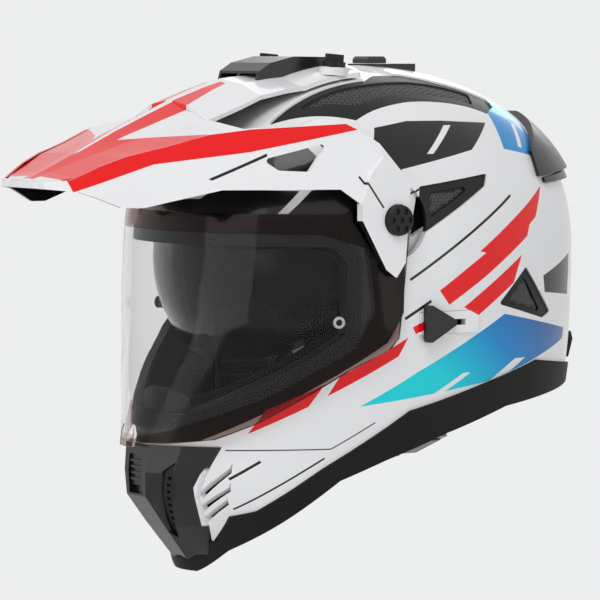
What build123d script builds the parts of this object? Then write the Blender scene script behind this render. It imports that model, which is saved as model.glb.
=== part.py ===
from build123d import *
import math
import os

# Dual sport helmet with a peak, a long clear visor and a drop-down sun visor.
# Millimetres, +Z up, the front of the helmet is -Y and the wearer's left is +X.
# The origin is the middle of the head on the level of the visor pivots.

os.makedirs("parts", exist_ok=True)

# Driving dimensions of the shell, measured from the origin
shell_half_width = 122.0
shell_front = 137.0
shell_rear = 169.0
crown_height = 97.5
chin_depth = 234.0
shell_wall = 4.5
overrun = 60.0
fit = 0.3
running_gap = 0.5
section_points = 20
dome_power = 2.25
dome_round_power = 2.15
widest_level_share = -0.107
dome_step_shares = (0.0, 0.25, 0.48, 0.68, 0.84, 0.94, 0.985, 0.998)
# Lower levels of the shell: level, half width, front and rear reach, then front and rear roundness
low_level_shares = (
    (-1.05, 0.770, 0.752, 0.935, 1.60, 2.30),
    (-0.932, 0.803, 0.912, 0.935, 1.60, 2.30),
    (-0.833, 0.828, 1.029, 0.935, 1.60, 2.30),
    (-0.727, 0.861, 1.117, 0.935, 1.60, 2.30),
    (-0.641, 0.898, 1.124, 0.941, 1.62, 2.30),
    (-0.534, 0.939, 1.099, 0.950, 1.72, 2.25),
    (-0.427, 0.967, 1.066, 0.967, 1.87, 2.25),
    (-0.321, 0.988, 1.029, 0.985, 2.05, 2.20),
    (-0.214, 0.997, 1.018, 0.994, 2.10, 2.17),
)

# Visor, its pivots and the peak that turns on them
pivot_back_share = -0.277
visor_side_stand = 5.5
visor_front_stand = 8.5
visor_wall = 2.2
visor_face_width = 121.5
pocket_floor = 113.5
plate_thickness = 3.0
boss_radius = 6.0
boss_thread_radius = 3.6
knob_radius = 9.8
knob_height = 5.4
knob_shank_radius = 3.3
arm_thickness = 5.2
flank_wall = 3.0
deck_wall = 2.8

# The head and what lies round it
head_half_width = 78.0
head_half_length = 100.0
head_top = 54.0
head_setback = 14.0
comfort_pad = 8.0


def side_y(share):
    """A place along the helmet: -1 is the brow and +1 the back of the shell."""
    return share * (shell_front if share < 0 else shell_rear)


def side_z(share):
    """A level: +1 is the crown and -1 the bottom of the chin."""
    return share * (crown_height if share > 0 else chin_depth)


def side_x(share):
    """A place across the helmet: 1 is the widest point of the shell."""
    return share * shell_half_width


pivot_y = side_y(pivot_back_share)
widest_level = side_z(widest_level_share)


def level_outline(z, half_width, front, rear, front_power, rear_power):
    """One closed smooth outline of the shell at a level, starting at the back."""
    points = []
    for step in range(section_points):
        turn = math.pi / 2 + 2 * math.pi * step / section_points
        c, s = math.cos(turn), math.sin(turn)
        power = front_power if s < 0 else rear_power
        reach = front if s < 0 else rear
        x = half_width * math.copysign(abs(c) ** (2 / power), c)
        y = reach * math.copysign(abs(s) ** (2 / power), s)
        points.append(Vector(x, y, z))
    return Wire([Edge.make_spline(points, periodic=True)])


def body(side, front=None, rear=None):
    """The shell's outer form, drawn in at the sides, front and rear."""
    front = side if front is None else front
    rear = side if rear is None else rear
    wires = []
    for level, wide, fore, aft, front_power, rear_power in low_level_shares:
        half = wide * shell_half_width - side
        reach = fore * shell_front - front
        back = aft * shell_rear - rear
        wires.append(level_outline(side_z(level), half, reach, back, front_power, rear_power))
    for step in dome_step_shares:
        close = (1 - step**dome_power) ** (1 / dome_power)
        z = widest_level + step * (crown_height - side - widest_level)
        half = (shell_half_width - side) * close
        reach = (shell_front - front) * close
        back = (shell_rear - rear) * close
        wires.append(level_outline(z, half, reach, back, dome_round_power, dome_round_power))
    return Solid.make_loft(wires)


def closed_face(points):
    return Face(Wire.make_polygon([Vector(*p) for p in points], close=True))


def rounded(face, radius):
    return face.fillet_2d(radius, face.vertices()) if radius else face


def side_prism(shares, x_from, x_to, radius=0.0):
    """A side-view outline carried across the helmet."""
    points = [(x_from, side_y(y), side_z(z)) for y, z in shares]
    return extrude(rounded(closed_face(points), radius), amount=x_to - x_from, dir=(1, 0, 0))


def plan_prism(shares, z_from, z_to, radius=0.0):
    """A plan outline carried upwards."""
    points = [(side_x(x), side_y(y), z_from) for x, y in shares]
    return extrude(rounded(closed_face(points), radius), amount=z_to - z_from, dir=(0, 0, 1))


def front_prism(shares, y_from, y_to, radius=0.0):
    """A front-view outline carried backwards."""
    points = [(side_x(x), y_from, side_z(z)) for x, z in shares]
    return extrude(rounded(closed_face(points), radius), amount=y_to - y_from, dir=(0, 1, 0))


def across(radius, x_from, x_to, y, z):
    """A round bar along X."""
    bar = Cylinder(radius, x_to - x_from, rotation=(0, 90, 0))
    return Pos((x_from + x_to) / 2, y, z) * bar


def block(x_from, x_to, y_from, y_to, z_from, z_to):
    box = Box(x_to - x_from, y_to - y_from, z_to - z_from)
    return Pos((x_from + x_to) / 2, (y_from + y_to) / 2, (z_from + z_to) / 2) * box


def ellipsoid(half_x, half_y, half_z, centre):
    ball = scale(Sphere(1), by=(half_x, half_y, half_z))
    return Pos(*centre) * ball


def other_side(shape):
    return mirror(shape, about=Plane.YZ)


def pair(shapes):
    """The shapes and their mirror images, as one list."""
    return [*shapes, *(other_side(shape) for shape in shapes)]


def save(name, shape):
    solids = shape.solids()
    shape = solids[0] if len(solids) == 1 else Compound(list(solids))
    export_step(shape, f"parts/{name}.step")
    print(name, len(solids), round(sum(s.volume for s in solids)))
    return shape


wide = shell_half_width + overrun
long_reach = shell_rear + 2 * overrun
outer_form = body(0)
inner_form = body(shell_wall)
seat_form = body(-fit)

# Openings and vents in the shell, as side-view and plan outlines
port_shares = (
    (-1.50, -0.056), (-0.53, -0.056), (-0.453, -0.11), (-0.453, -0.32), (-0.585, -0.385),
    (-0.73, -0.445), (-0.87, -0.503), (-1.0, -0.555), (-1.50, -0.58),
)
port_round = 7.0
port = side_prism(port_shares, -wide, wide, port_round)

# The rim runs from the chin up to the neck
rim_shares = (
    (-1.50, -0.915), (-0.85, -0.90), (-0.84, -0.825), (-0.75, -0.808), (-0.51, -0.688),
    (-0.14, -0.53), (0.24, -0.462), (0.52, -0.412), (0.72, -0.43), (0.92, -0.447), (1.25, -0.455),
)
hem_shares = (
    (1.25, -0.495), (0.86, -0.493), (0.35, -0.535), (0.05, -0.60), (-0.23, -0.667),
    (-0.43, -0.722), (-0.80, -0.925), (-0.87, -0.992), (-1.50, -0.992),
)


def above_rim(lift):
    """Everything above the rim line, moved up by a clearance."""
    points = [(side_y(y), side_z(z) + lift) for y, z in rim_shares]
    top = crown_height + overrun
    points += [(side_y(1.25), top), (side_y(-1.50), top)]
    face = closed_face([(-wide, y, z) for y, z in points])
    return extrude(face, amount=2 * wide, dir=(1, 0, 0))


# Crown vents, outline in plan; the front point lies beside the tail of the peak
crown_vent_shares = (
    (0.44, -0.67), (0.425, -0.10), (0.355, -0.01), (0.345, 0.13), (0.40, 0.26), (0.42, 0.50),
    (0.52, 0.485), (0.63, 0.40), (0.63, 0.31), (0.65, 0.02), (0.68, -0.20), (0.70, -0.31),
)
crown_window_shares = (
    (0.475, -0.53), (0.465, -0.12), (0.44, 0.12), (0.45, 0.40), (0.57, 0.36), (0.575, 0.02),
    (0.62, -0.24),
)
# Side vents behind the pivots: the recess, and the window for its mesh
side_vent_shares = ((-0.10, 0.21), (0.26, 0.285), (0.235, 0.20), (-0.145, -0.055))
side_window_shares = ((-0.045, 0.17), (0.17, 0.205), (-0.062, 0.0))
# Rear vents low behind the ears
rear_vent_shares = ((0.44, -0.145), (0.285, -0.245), (0.555, -0.295), (0.61, -0.28))
rear_window_shares = ((0.435, -0.175), (0.335, -0.24), (0.545, -0.278))
vent_round = 1.5
vent_sink = 1.2
window_sink = 2.4
mesh_wall = 1.0

crown_vent_tool = plan_prism(crown_vent_shares, 0, crown_height + overrun, vent_round)
side_vent_tool = side_prism(side_vent_shares, 0, wide, vent_round)
rear_vent_tool = side_prism(rear_vent_shares, 0, wide, vent_round)

# Chin guard: a faceted prow. Each row is a level, then side, shoulder and front points
prow_shares = (
    (-0.628, 0.426, -0.920, 0.279, -1.044, 0.115, -1.139),
    (-0.705, 0.352, -0.978, 0.246, -1.073, 0.107, -1.153),
    (-0.774, 0.295, -0.978, 0.213, -1.051, 0.098, -1.146),
    (-0.855, 0.270, -0.927, 0.197, -0.978, 0.090, -1.044),
    (-0.953, 0.197, -0.847, 0.131, -0.876, 0.074, -0.912),
    (-1.0, 0.148, -0.788, 0.107, -0.810, 0.066, -0.847),
)
prow_root_share = -0.60
gill_shares = (
    ((0.30, -0.760), (0.44, -0.690), (0.46, -0.672), (0.45, -0.700), (0.31, -0.776)),
    ((0.285, -0.796), (0.425, -0.742), (0.44, -0.724), (0.43, -0.752), (0.29, -0.812)),
    ((0.28, -0.828), (0.40, -0.778), (0.41, -0.765), (0.405, -0.790), (0.28, -0.843)),
)
guard_sink = 1.5


def prow(grow):
    """The chin guard's outer form, grown sideways for clearance."""
    wires = []
    for level, side_w, side_r, mid_w, mid_r, nose_w, nose_r in prow_shares:
        right = [
            (side_x(side_w) + grow, side_y(prow_root_share)),
            (side_x(side_w) + grow, side_y(side_r)),
            (side_x(mid_w) + grow, side_y(mid_r) - grow),
            (side_x(nose_w) + grow, side_y(nose_r) - grow),
        ]
        left = [(-x, y) for x, y in reversed(right)]
        wires.append(Wire.make_polygon([Vector(x, y, side_z(level)) for x, y in right + left]))
    return Solid.make_loft(wires, ruled=True)


prow_form = prow(0)
prow_room = prow(fit)

# Shell
pocket_radius = 27.0
pocket = across(pocket_radius, pocket_floor, wide, pivot_y, 0)
pocket_boss = across(pocket_radius + shell_wall, pocket_floor - shell_wall, pocket_floor, pivot_y, 0)
# The tail of the peak lies in a shallow tray on the crown
tray_depth = 2.0
tray_shares = (
    (0.425, 0.09), (-0.425, 0.09), (-0.425, -1.0), (0.425, -1.0),
)
tray = plan_prism(tray_shares, 0, crown_height + overrun) - body(tray_depth)
screw_x = 40.0
screw_y_share = -0.219
screw_thread_radius = 3.0
screw_y = side_y(screw_y_share)
screw_boss_radius = 7.0
screw_boss_depth = 9.0


def crown_level(x, y):
    """Height of the outer form above a plan place."""
    reach = shell_front if y < 0 else shell_rear
    spread = (abs(x) / shell_half_width) ** dome_round_power + (abs(y) / reach) ** dome_round_power
    close = spread ** (1 / dome_round_power)
    rise = (1 - close**dome_power) ** (1 / dome_power)
    return widest_level + rise * (crown_height - widest_level)


screw_level = crown_level(screw_x, screw_y)

slider_y_share = -0.02
slider_z_share = -0.288
slider_plane = 119.6
slider_track_height = 15.0
slider_travel = 18.0
slider_slot_height = 4.0
slider_y = side_y(slider_y_share)
slider_z = side_z(slider_z_share)

# Flat recess for the sun visor's slider, and the slot that its stem runs in
slider_lap = 14.0
slider_reach = slider_travel + slider_lap
slot_room = fit + running_gap
track_room = block(
    slider_plane, wide, slider_y - slider_lap, slider_y + slider_reach,
    slider_z - slider_track_height / 2, slider_z + slider_track_height / 2,
)
stem_half = 3.0
slider_slot = block(
    slider_plane - 3 * shell_wall, wide, slider_y - stem_half - slot_room,
    slider_y + slider_travel + stem_half + slot_room,
    slider_z - slider_slot_height / 2, slider_z + slider_slot_height / 2,
)

# The top screws stand square to a round pad that is centred on the pivots
screw_tilt = math.atan2(screw_y - pivot_y, screw_level)
screw_radius_place = math.hypot(screw_y - pivot_y, screw_level)


def on_crown(shape, x):
    """Put a shape made along +Z, with Z as the distance from the pivot axis, under a top screw."""
    return Pos(x, pivot_y, 0) * Rot(-math.degrees(screw_tilt), 0, 0) * shape


def post(radius, low, high):
    return Pos(0, 0, (low + high) / 2) * Cylinder(radius, high - low)


screw_boss = post(screw_boss_radius, screw_radius_place - screw_boss_depth, screw_radius_place)
screw_bore = post(screw_thread_radius, screw_radius_place - screw_boss_depth, screw_radius_place + overrun)

# Outer shell
bosses = pair([pocket_boss & outer_form, on_crown(screw_boss, screw_x) & outer_form])
shell = (outer_form - inner_form + bosses) & above_rim(0)
gills = [front_prism(shares, -2 * shell_front, -shell_front / 2) for shares in gill_shares]
vents = [crown_vent_tool, side_vent_tool, rear_vent_tool]
openings = pair([pocket, on_crown(screw_bore, screw_x), *vents, *gills])
shell = shell - [port, tray, track_room, slider_slot, *openings]
shell = shell - (prow_room - body(guard_sink))
shell = save("outer_shell", shell)


def panel(tool, outer, inner):
    """A piece of skin under a tool, between two depths below the outer form."""
    return (tool & outer) - inner


# Vent inserts and their meshes
insert_form = body(vent_sink)
window_form = body(window_sink)
mesh_form = body(window_sink + mesh_wall)
vent_back = body(shell_wall - fit)


def shrunk_prism(kind, shares, low, high, round_radius, by):
    """A prism whose outline is drawn in by a clearance."""
    if kind == "plan":
        points = [(side_x(x), side_y(y), low) for x, y in shares]
        way = (0, 0, 1)
    else:
        points = [(low, side_y(y), side_z(z)) for y, z in shares]
        way = (1, 0, 0)
    face = rounded(closed_face(points), round_radius)
    face = offset(face, amount=-by).faces()[0]
    return extrude(face, amount=high - low, dir=way)


vent_kinds = (
    ("crown", "plan", crown_vent_shares, crown_window_shares, 0, crown_height + overrun),
    ("side", "side", side_vent_shares, side_window_shares, shell_half_width / 2, wide),
    ("rear", "side", rear_vent_shares, rear_window_shares, shell_half_width / 2, wide),
)
pocket_room = across(pocket_radius + fit, 0, wide, pivot_y, 0)
for place, kind, outline, window, start, reach in vent_kinds:
    insert_tool = shrunk_prism(kind, outline, start, reach, vent_round, fit)
    window_tool = shrunk_prism(kind, window, start, reach, vent_round, 0.0)
    mesh_tool = shrunk_prism(kind, window, start, reach, vent_round, fit)
    insert = panel(insert_tool, insert_form, vent_back) - [window_tool, pocket_room]
    mesh = panel(mesh_tool, window_form, mesh_form)
    for side, shape in (("left", insert), ("right", other_side(insert))):
        save(f"{place}_vent_{side}", shape)
    for side, shape in (("left", mesh), ("right", other_side(mesh))):
        save(f"{place}_mesh_{side}", shape)

# Rubber frame round the eye port: a lip on the shell and a bead inside its edge
gasket_lip = 5.0
gasket_bead = 4.0
gasket_stand = 1.4
gasket_depth = 7.0


def port_band(grow):
    """The eye port's outline, grown all round and carried across the helmet."""
    points = [(-wide, side_y(y), side_z(z)) for y, z in port_shares]
    face = offset(rounded(closed_face(points), port_round), amount=grow).faces()[0]
    return extrude(face, amount=2 * wide, dir=(1, 0, 0))


port_inner = port_band(-gasket_bead)
port_lip = port_band(gasket_lip)
port_edge = port_band(-fit)
lip_form = body(-gasket_stand)
gasket_bottom = body(gasket_depth)
gasket = ((port_lip & lip_form) - seat_form) + ((port_edge & lip_form) - gasket_bottom)
gasket = gasket - port_inner - prow_room
save("eyeport_gasket", gasket)

# Chin guard with its vent slots and the recess for the sliding shutter
shutter_half_width = 8.0
shutter_height = 20.0
shutter_depth = 2.6
shutter_travel = 5.0
shutter_top_share = -0.66
chin_slot_shares = ((0.255, -0.672), (0.19, -0.70), (0.085, -0.875), (0.115, -0.895), (0.235, -0.745))
vent_port_half_height = 5.0
shutter_top = side_z(shutter_top_share)
shutter_face = side_y(prow_shares[0][6])
recess_back = shutter_face + shutter_depth
recess = block(
    -shutter_half_width - fit, shutter_half_width + fit, shutter_face - overrun, recess_back,
    shutter_top - shutter_height - shutter_travel - fit, shutter_top + fit,
)
vent_port = block(
    -shutter_half_width / 2, shutter_half_width / 2, recess_back - shutter_depth, -shell_front / 2,
    shutter_top - 2 * vent_port_half_height, shutter_top - shutter_depth,
)
chin_slot = front_prism(chin_slot_shares, -2 * shell_front, -shell_front / 2)
guard = prow_form - body(guard_sink - fit)
guard = guard - [recess, vent_port, *pair([chin_slot])]
guard = guard - (port_band(gasket_lip + fit))
save("chin_guard", guard)

# Toothed mesh strips set back in the two chin slots
strip_sink = 3.0
tooth_radius = 1.3
tooth_high_shares = (0.21, -0.71)
tooth_low_shares = (0.115, -0.865)
strips = (chin_slot & body(fit - strip_sink)) - body(guard_sink - fit)
teeth = []
tooth_rows = 8
for row in range(tooth_rows):
    share = (row + 0.5) / tooth_rows
    x = side_x(tooth_high_shares[0] + (tooth_low_shares[0] - tooth_high_shares[0]) * share)
    z = side_z(tooth_high_shares[1] + (tooth_low_shares[1] - tooth_high_shares[1]) * share)
    hole = Cylinder(tooth_radius, 2 * overrun, rotation=(90, 0, 0))
    teeth.append(Pos(x, -shell_front, z) * hole)
strips = strips - teeth
save("chin_mesh_left", strips)
save("chin_mesh_right", other_side(strips))

# Sliding chin vent shutter with its ribs
shutter = block(
    -shutter_half_width, shutter_half_width, recess_back - shutter_depth + running_gap,
    recess_back - fit, shutter_top - shutter_height, shutter_top,
)
rib_count = 4
rib_height = 1.2
rib_thickness = 1.6
ribs = []
for row in range(rib_count):
    z = shutter_top - shutter_height * (row + 1) / (rib_count + 1)
    y = recess_back - shutter_depth + running_gap
    ribs.append(block(
        -shutter_half_width, shutter_half_width, y - rib_height, y,
        z - rib_thickness / 2, z + rib_thickness / 2,
    ))
save("chin_vent_shutter", shutter + ribs)

# Rubber hem under the shell's rim
hem_stand = 2.0
hem_inner = 12.0
hem_top_points = [(side_y(y), side_z(z) - fit) for y, z in rim_shares]
hem_low_points = [(side_y(y), side_z(z)) for y, z in hem_shares]
hem_face = closed_face([(-wide, y, z) for y, z in hem_top_points + hem_low_points])
hem_tool = extrude(hem_face, amount=2 * wide, dir=(1, 0, 0)) - prow_room
hem = (hem_tool & body(-hem_stand)) - body(hem_inner)
save("lower_trim", hem)

# Pivot plates under the visor, each with a boss for the knob and three screws
plate_radius = 13.2
plate_screw_radius = 1.6
plate_screw_place = 9.6
plate_screw_head = 2.8
plate_screw_count = 3
plate_screw_turn = 0.0
boss_end = visor_face_width + fit / 2
plate_face = pocket_floor + plate_thickness
plate = across(plate_radius, pocket_floor, plate_face, pivot_y, 0)
plate = plate + across(boss_radius, plate_face, boss_end, pivot_y, 0)
plate_screws = []
plate_holes = []
for index in range(plate_screw_count):
    turn = math.radians(plate_screw_turn + 360 * index / plate_screw_count)
    y = pivot_y + plate_screw_place * math.cos(turn)
    z = plate_screw_place * math.sin(turn)
    plate_holes.append(across(plate_screw_radius + fit, pocket_floor, plate_face, y, z))
    plate_holes.append(across(plate_screw_head + fit, plate_face - plate_thickness / 2, wide, y, z))
    head = across(plate_screw_head, plate_face - plate_thickness / 2, plate_face, y, z)
    shank = across(plate_screw_radius, pocket_floor, plate_face - plate_thickness / 2, y, z)
    plate_screws.append(head + shank)
plate = plate - across(boss_thread_radius, pocket_floor, wide, pivot_y, 0) - plate_holes
save("visor_base_left", plate)
save("visor_base_right", other_side(plate))
save("plate_screws", Compound([shape.solids()[0] for shape in pair(plate_screws)]))


# Clear visor: a thin shield that stands off the shell, flat at its sides
visor_shares = (
    (-1.50, 0.045), (-0.50, 0.041), (-0.36, 0.12), (-0.277, 0.155), (-0.20, 0.12), (-0.175, 0.0),
    (-0.20, -0.12), (-0.226, -0.264), (-0.24, -0.325), (-0.29, -0.355), (-0.467, -0.411),
    (-0.67, -0.498), (-0.81, -0.558), (-0.956, -0.605), (-1.12, -0.622), (-1.50, -0.622),
)
visor_round = 2.0
hub_radius = 15.0
hub_back = plate_face + fit
visor_inner_width = visor_face_width - visor_wall
inner_room = block(
    -visor_inner_width, visor_inner_width, -long_reach, long_reach, -long_reach, long_reach,
)
visor_outer = body(-visor_side_stand, -visor_front_stand)
visor_inner = body(visor_wall - visor_side_stand, visor_wall - visor_front_stand)
visor_tool = side_prism(visor_shares, -visor_face_width, visor_face_width, visor_round)
visor = (visor_tool & visor_outer) - [visor_inner & inner_room, body(-running_gap)]
hub = across(hub_radius, hub_back, visor_face_width - visor_wall / 2, pivot_y, 0)
hub_bore = across(boss_radius + fit, 0, wide, pivot_y, 0)
# Eccentric pins near the ends of the visor, which hold an anti-fog lens
pin_x_share = 0.914
pin_y_share = -0.533
pin_z_share = -0.277
pin_turn = 25.2
pin_radius = 2.2
pin_cap_radius = 4.2
pin_cap = 1.2


def at_pin(radius, low, high):
    """A round bar square to the visor, measured outwards from its outer face."""
    place = Pos(side_x(pin_x_share), side_y(pin_y_share), side_z(pin_z_share)) * Rot(0, 0, -pin_turn)
    return place * across(radius, low, high, 0, 0)


pin_gap = 0.9
pin_back = -visor_wall - pin_gap
pin = at_pin(pin_radius, pin_back, pin_gap)
pin = pin + [
    at_pin(pin_cap_radius, pin_back - pin_cap, pin_back),
    at_pin(pin_cap_radius, pin_gap, pin_gap + pin_cap),
]
pin_hole = at_pin(pin_radius + fit, -overrun / 2, overrun / 2)
save("visor_pins", Compound([pin.solids()[0], other_side(pin).solids()[0]]))
visor = visor + pair([hub]) - pair([hub_bore, pin_hole])

visor_tab_shares = (
    (-0.09, -0.60), (-0.10, -0.635), (0.05, -0.635), (0.06, -0.60), (0.04, -0.575), (-0.06, -0.575),
)
tab_stand = 2.0
tab_tool = front_prism(visor_tab_shares, -2 * shell_front, -shell_front)
tab_form = body(-visor_side_stand - tab_stand, -visor_front_stand - tab_stand)
tab = (tab_tool & tab_form) - visor_outer
visor = visor + tab
save("visor", visor)

# Peak: two flanks that end in arms over the pivots, a deck, and a tail over the crown
arm_inner = visor_face_width + fit
arm_outer = arm_inner + arm_thickness
flank_lean = 0.164
flank_top = 92.0
flank_bend = 10.0
# Plan of the flank's outer face: share of the arm's width, share of the shell's front
flank_plan_shares = (
    (1.0, -0.07), (1.0, -0.18), (1.0, -0.30), (0.996, -0.38), (0.955, -0.525), (0.878, -0.715),
    (0.722, -1.022),
    (0.520, -1.365), (0.380, -1.635), (0.325, -1.705),
)
peak_tip_shares = ((0.22, -1.752), (0.0, -1.774))


def flank_outline(z, wall):
    """Plan outline of the peak at a level, leaning in above the bend."""
    lean = max(z - flank_bend, 0) * flank_lean + wall
    side = [(share * arm_outer - lean, side_y(y)) for share, y in flank_plan_shares]
    tip = [(share * arm_outer - lean * share, side_y(y) + wall) for share, y in peak_tip_shares]
    right = Edge.make_spline([Vector(x, y, z) for x, y in side])
    left = Edge.make_spline([Vector(-x, y, z) for x, y in reversed(side)])
    nose = [side[-1], *tip, *((-x, y) for x, y in reversed(tip[:-1])), (-side[-1][0], side[-1][1])]
    runs = [Edge.make_line(Vector(*a, z), Vector(*b, z)) for a, b in zip(nose, nose[1:])]
    back = Edge.make_line(Vector(-side[0][0], side[0][1], z), Vector(side[0][0], side[0][1], z))
    return Wire([right, *runs, left, back])


flank_low = -45.0
flank_levels = (flank_low, flank_bend, flank_top)
flank_outer = Solid.make_loft([flank_outline(z, 0) for z in flank_levels], ruled=True)
flank_inner = Solid.make_loft([flank_outline(z, flank_wall) for z in flank_levels], ruled=True)
flank_side_shares = (
    (-1.80, 0.22), (-1.642, 0.195), (-1.577, 0.16), (-1.474, 0.095), (-1.38, 0.092), (-1.058, 0.205),
    (-0.555, 0.205), (-0.474, 0.113), (-0.474, 0.0), (-0.343, -0.134), (-0.285, -0.158),
    (-0.234, -0.117), (-0.204, 0.256), (-0.35, 0.50), (-0.445, 0.585), (-0.526, 0.645),
    (-0.628, 0.665), (-0.715, 0.615), (-0.912, 0.605), (-1.08, 0.565), (-1.27, 0.482),
    (-1.438, 0.420), (-1.547, 0.360), (-1.672, 0.270), (-1.80, 0.26),
)
window_shares = ((-0.883, 0.40), (-0.591, 0.51), (-0.686, 0.32), (-0.818, 0.33))
flank_round = 1.0
window_round = 2.0
flank_tool = side_prism(flank_side_shares, -wide, wide, flank_round)
flank_window = side_prism(window_shares, -wide, wide, window_round)
flank = (flank_outer - flank_inner) & flank_tool
arm_pad_shares = (
    (-0.474, 0.113), (-0.474, 0.0), (-0.343, -0.134), (-0.285, -0.158), (-0.234, -0.117),
    (-0.204, 0.256), (-0.35, 0.42), (-0.43, 0.30),
)
arm_pad = side_prism(arm_pad_shares, arm_inner, arm_outer, flank_round)

# Deck rows: place along, crease width and level, ridge width and level, centre level
deck_shares = (
    (-1.765, 0.16, 0.245, 0.045, 0.250, 0.250),
    (-1.635, 0.350, 0.290, 0.06, 0.315, 0.325),
    (-1.438, 0.440, 0.415, 0.15, 0.430, 0.455),
    (-1.27, 0.530, 0.478, 0.22, 0.520, 0.575),
    (-1.08, 0.640, 0.562, 0.30, 0.600, 0.700),
    (-0.945, 0.715, 0.600, 0.375, 0.650, 0.785),
)
tail_rows_shares = (
    (-0.96, 0.385, 0.645, 0.778),
    (-0.79, 0.395, 0.735, 0.865),
    (-0.67, 0.395, 0.805, 0.915),
    (-0.53, 0.395, 0.845, 0.938),
    (-0.41, 0.395, 0.868, 0.952),
)


def deck_section(y, chain):
    """A closed section of the deck: a chain of points over the same chain lowered by the wall."""
    top = [(x, z) for x, z in chain]
    right_to_left = [*top, *((-x, z) for x, z in reversed(top[:-1]))]
    under = [(x, z - deck_wall) for x, z in reversed(right_to_left)]
    return Wire.make_polygon([Vector(x, y, z) for x, z in right_to_left + under])


deck_wires = []
for along, crease_x, crease_z, ridge_x, ridge_z, centre_z in deck_shares:
    crease = (side_x(crease_x), side_z(crease_z))
    ridge = (side_x(ridge_x), side_z(ridge_z))
    chain = (crease, ridge, (0, side_z(centre_z)))
    deck_wires.append(deck_section(side_y(along), chain))
tail_swell_share = 0.72
tail_wires = []
for along, edge_x, edge_z, centre_z in tail_rows_shares:
    middle = (side_x(edge_x) / 2, side_z(edge_z + (centre_z - edge_z) * tail_swell_share))
    chain = ((side_x(edge_x), side_z(edge_z)), middle, (0, side_z(centre_z)))
    tail_wires.append(deck_section(side_y(along), chain))
deck = Solid.make_loft(deck_wires, ruled=True)
tail = Solid.make_loft(tail_wires, ruled=True)

tail_stand = 2.8
tail_round = 4.0
tail_skin_shares = ((0.395, -0.088), (-0.395, -0.088), (-0.395, -0.44), (0.395, -0.44))
tail_top = body(-tail_stand)
tail_tool = plan_prism(tail_skin_shares, 0, crown_height + overrun, tail_round)
tail_skin = (tail_tool & tail_top) - outer_form

# Round pads under the top screws, centred on the pivots, with a slot along the tilt
pad_radius = 10.0
pad_stand = 5.4
slot_half = 5.5
head_gap = 0.6
screw_shank = 2.6
screw_head_radius = 7.6
pad_top = screw_radius_place + pad_stand
pad = post(pad_radius, screw_radius_place, pad_top) & across(pad_top, -pad_radius, pad_radius, 0, 0)
slot_width = 2 * (screw_shank + running_gap)
slot_box = Pos(0, 0, screw_radius_place) * Box(slot_width, 2 * slot_half, 4 * pad_stand)
slot_end = post(slot_width / 2, screw_radius_place - 2 * pad_stand, screw_radius_place + 2 * pad_stand)
slot = [slot_box, Pos(0, slot_half, 0) * slot_end, Pos(0, -slot_half, 0) * slot_end]
peak = flank + [deck, tail, tail_skin, *pair([arm_pad]), *pair([on_crown(pad, screw_x) - outer_form])]
# Room over the pads in which the screw heads lie at every tilt
head_room_radius = screw_head_radius + slot_half + running_gap
head_space = post(head_room_radius, pad_top - pad_stand, pad_top + 2 * pad_stand)
head_space = head_space - across(pad_top, -2 * pad_radius, 2 * pad_radius, 0, 0)
arm_bore = across(knob_shank_radius + fit, 0, wide, pivot_y, 0)
counterbore_depth = 1.8
counterbore = across(knob_radius + running_gap, arm_outer - counterbore_depth, wide, pivot_y, 0)
peak_cuts = [arm_bore, counterbore, *(on_crown(piece, screw_x) for piece in [*slot, head_space])]
peak = peak - [flank_window, *pair(peak_cuts)]
peak = save("peak", peak)


# Air scoop on the tail of the peak, open at the front, with a divider
scoop_shares = (
    (-0.60, 0.80), (-0.565, 0.965), (-0.50, 1.02), (-0.37, 1.062), (-0.17, 1.058), (-0.10, 1.01),
    (-0.10, 0.90),
)
scoop_mouth_shares = (
    (-0.70, 0.80), (-0.70, 0.948), (-0.565, 0.948), (-0.49, 0.995), (-0.37, 1.032), (-0.26, 1.03),
    (-0.26, 0.80),
)
scoop_half_share = 0.20
scoop_wall = 2.4
divider_half = 1.2
scoop_half = side_x(scoop_half_share)
scoop_form = side_prism(scoop_shares, -scoop_half, scoop_half)
mouth = side_prism(scoop_mouth_shares, scoop_wall - scoop_half, scoop_half - scoop_wall)
divider = side_prism(scoop_mouth_shares, -divider_half, divider_half)
scoop = (scoop_form - mouth + (divider & scoop_form)) - peak - body(-fit)
save("top_scoop", scoop.solids().sort_by(SortBy.VOLUME)[-1])

# Knobs that clamp the arms of the peak on the bosses
knob_inner = arm_outer - counterbore_depth + fit
knob_outer = knob_inner + knob_height
knob_end = pocket_floor + fit
knob_dimples = 6
dimple_radius = 1.9
dimple_place = 6.4
dimple_depth = 1.2
knob = across(knob_radius, knob_inner, knob_outer, pivot_y, 0)
knob_rim = knob.edges().filter_by(GeomType.CIRCLE).sort_by(Axis.X)[-1]
knob = fillet(knob_rim, dimple_depth)
knob = knob + across(knob_shank_radius, knob_end, knob_inner, pivot_y, 0)
dimples = [across(dimple_radius, knob_outer - dimple_depth, wide, pivot_y, 0)]
for index in range(knob_dimples):
    turn = 2 * math.pi * index / knob_dimples
    y = pivot_y + dimple_place * math.cos(turn)
    z = dimple_place * math.sin(turn)
    dimples.append(across(dimple_radius, knob_outer - dimple_depth, wide, y, z))
knob = knob - dimples
save("side_knob_left", knob)
save("side_knob_right", other_side(knob))

# Wing screws on the tail
screw_head_height = 3.2
wing_height = 5.0
wing_half_thickness = 1.5
screw_end = screw_radius_place - screw_boss_depth + fit
head_low = pad_top + head_gap
head_high = head_low + screw_head_height
wing_length = 12.8
wing = Pos(0, 0, head_high + wing_height / 2) * Box(2 * wing_half_thickness, wing_length, wing_height)
wing_screw = post(screw_head_radius, head_low, head_high) + [post(screw_shank, screw_end, head_low), wing]
wing_screw = on_crown(wing_screw, screw_x)
save("top_screw_left", wing_screw)
save("top_screw_right", other_side(wing_screw))

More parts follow.
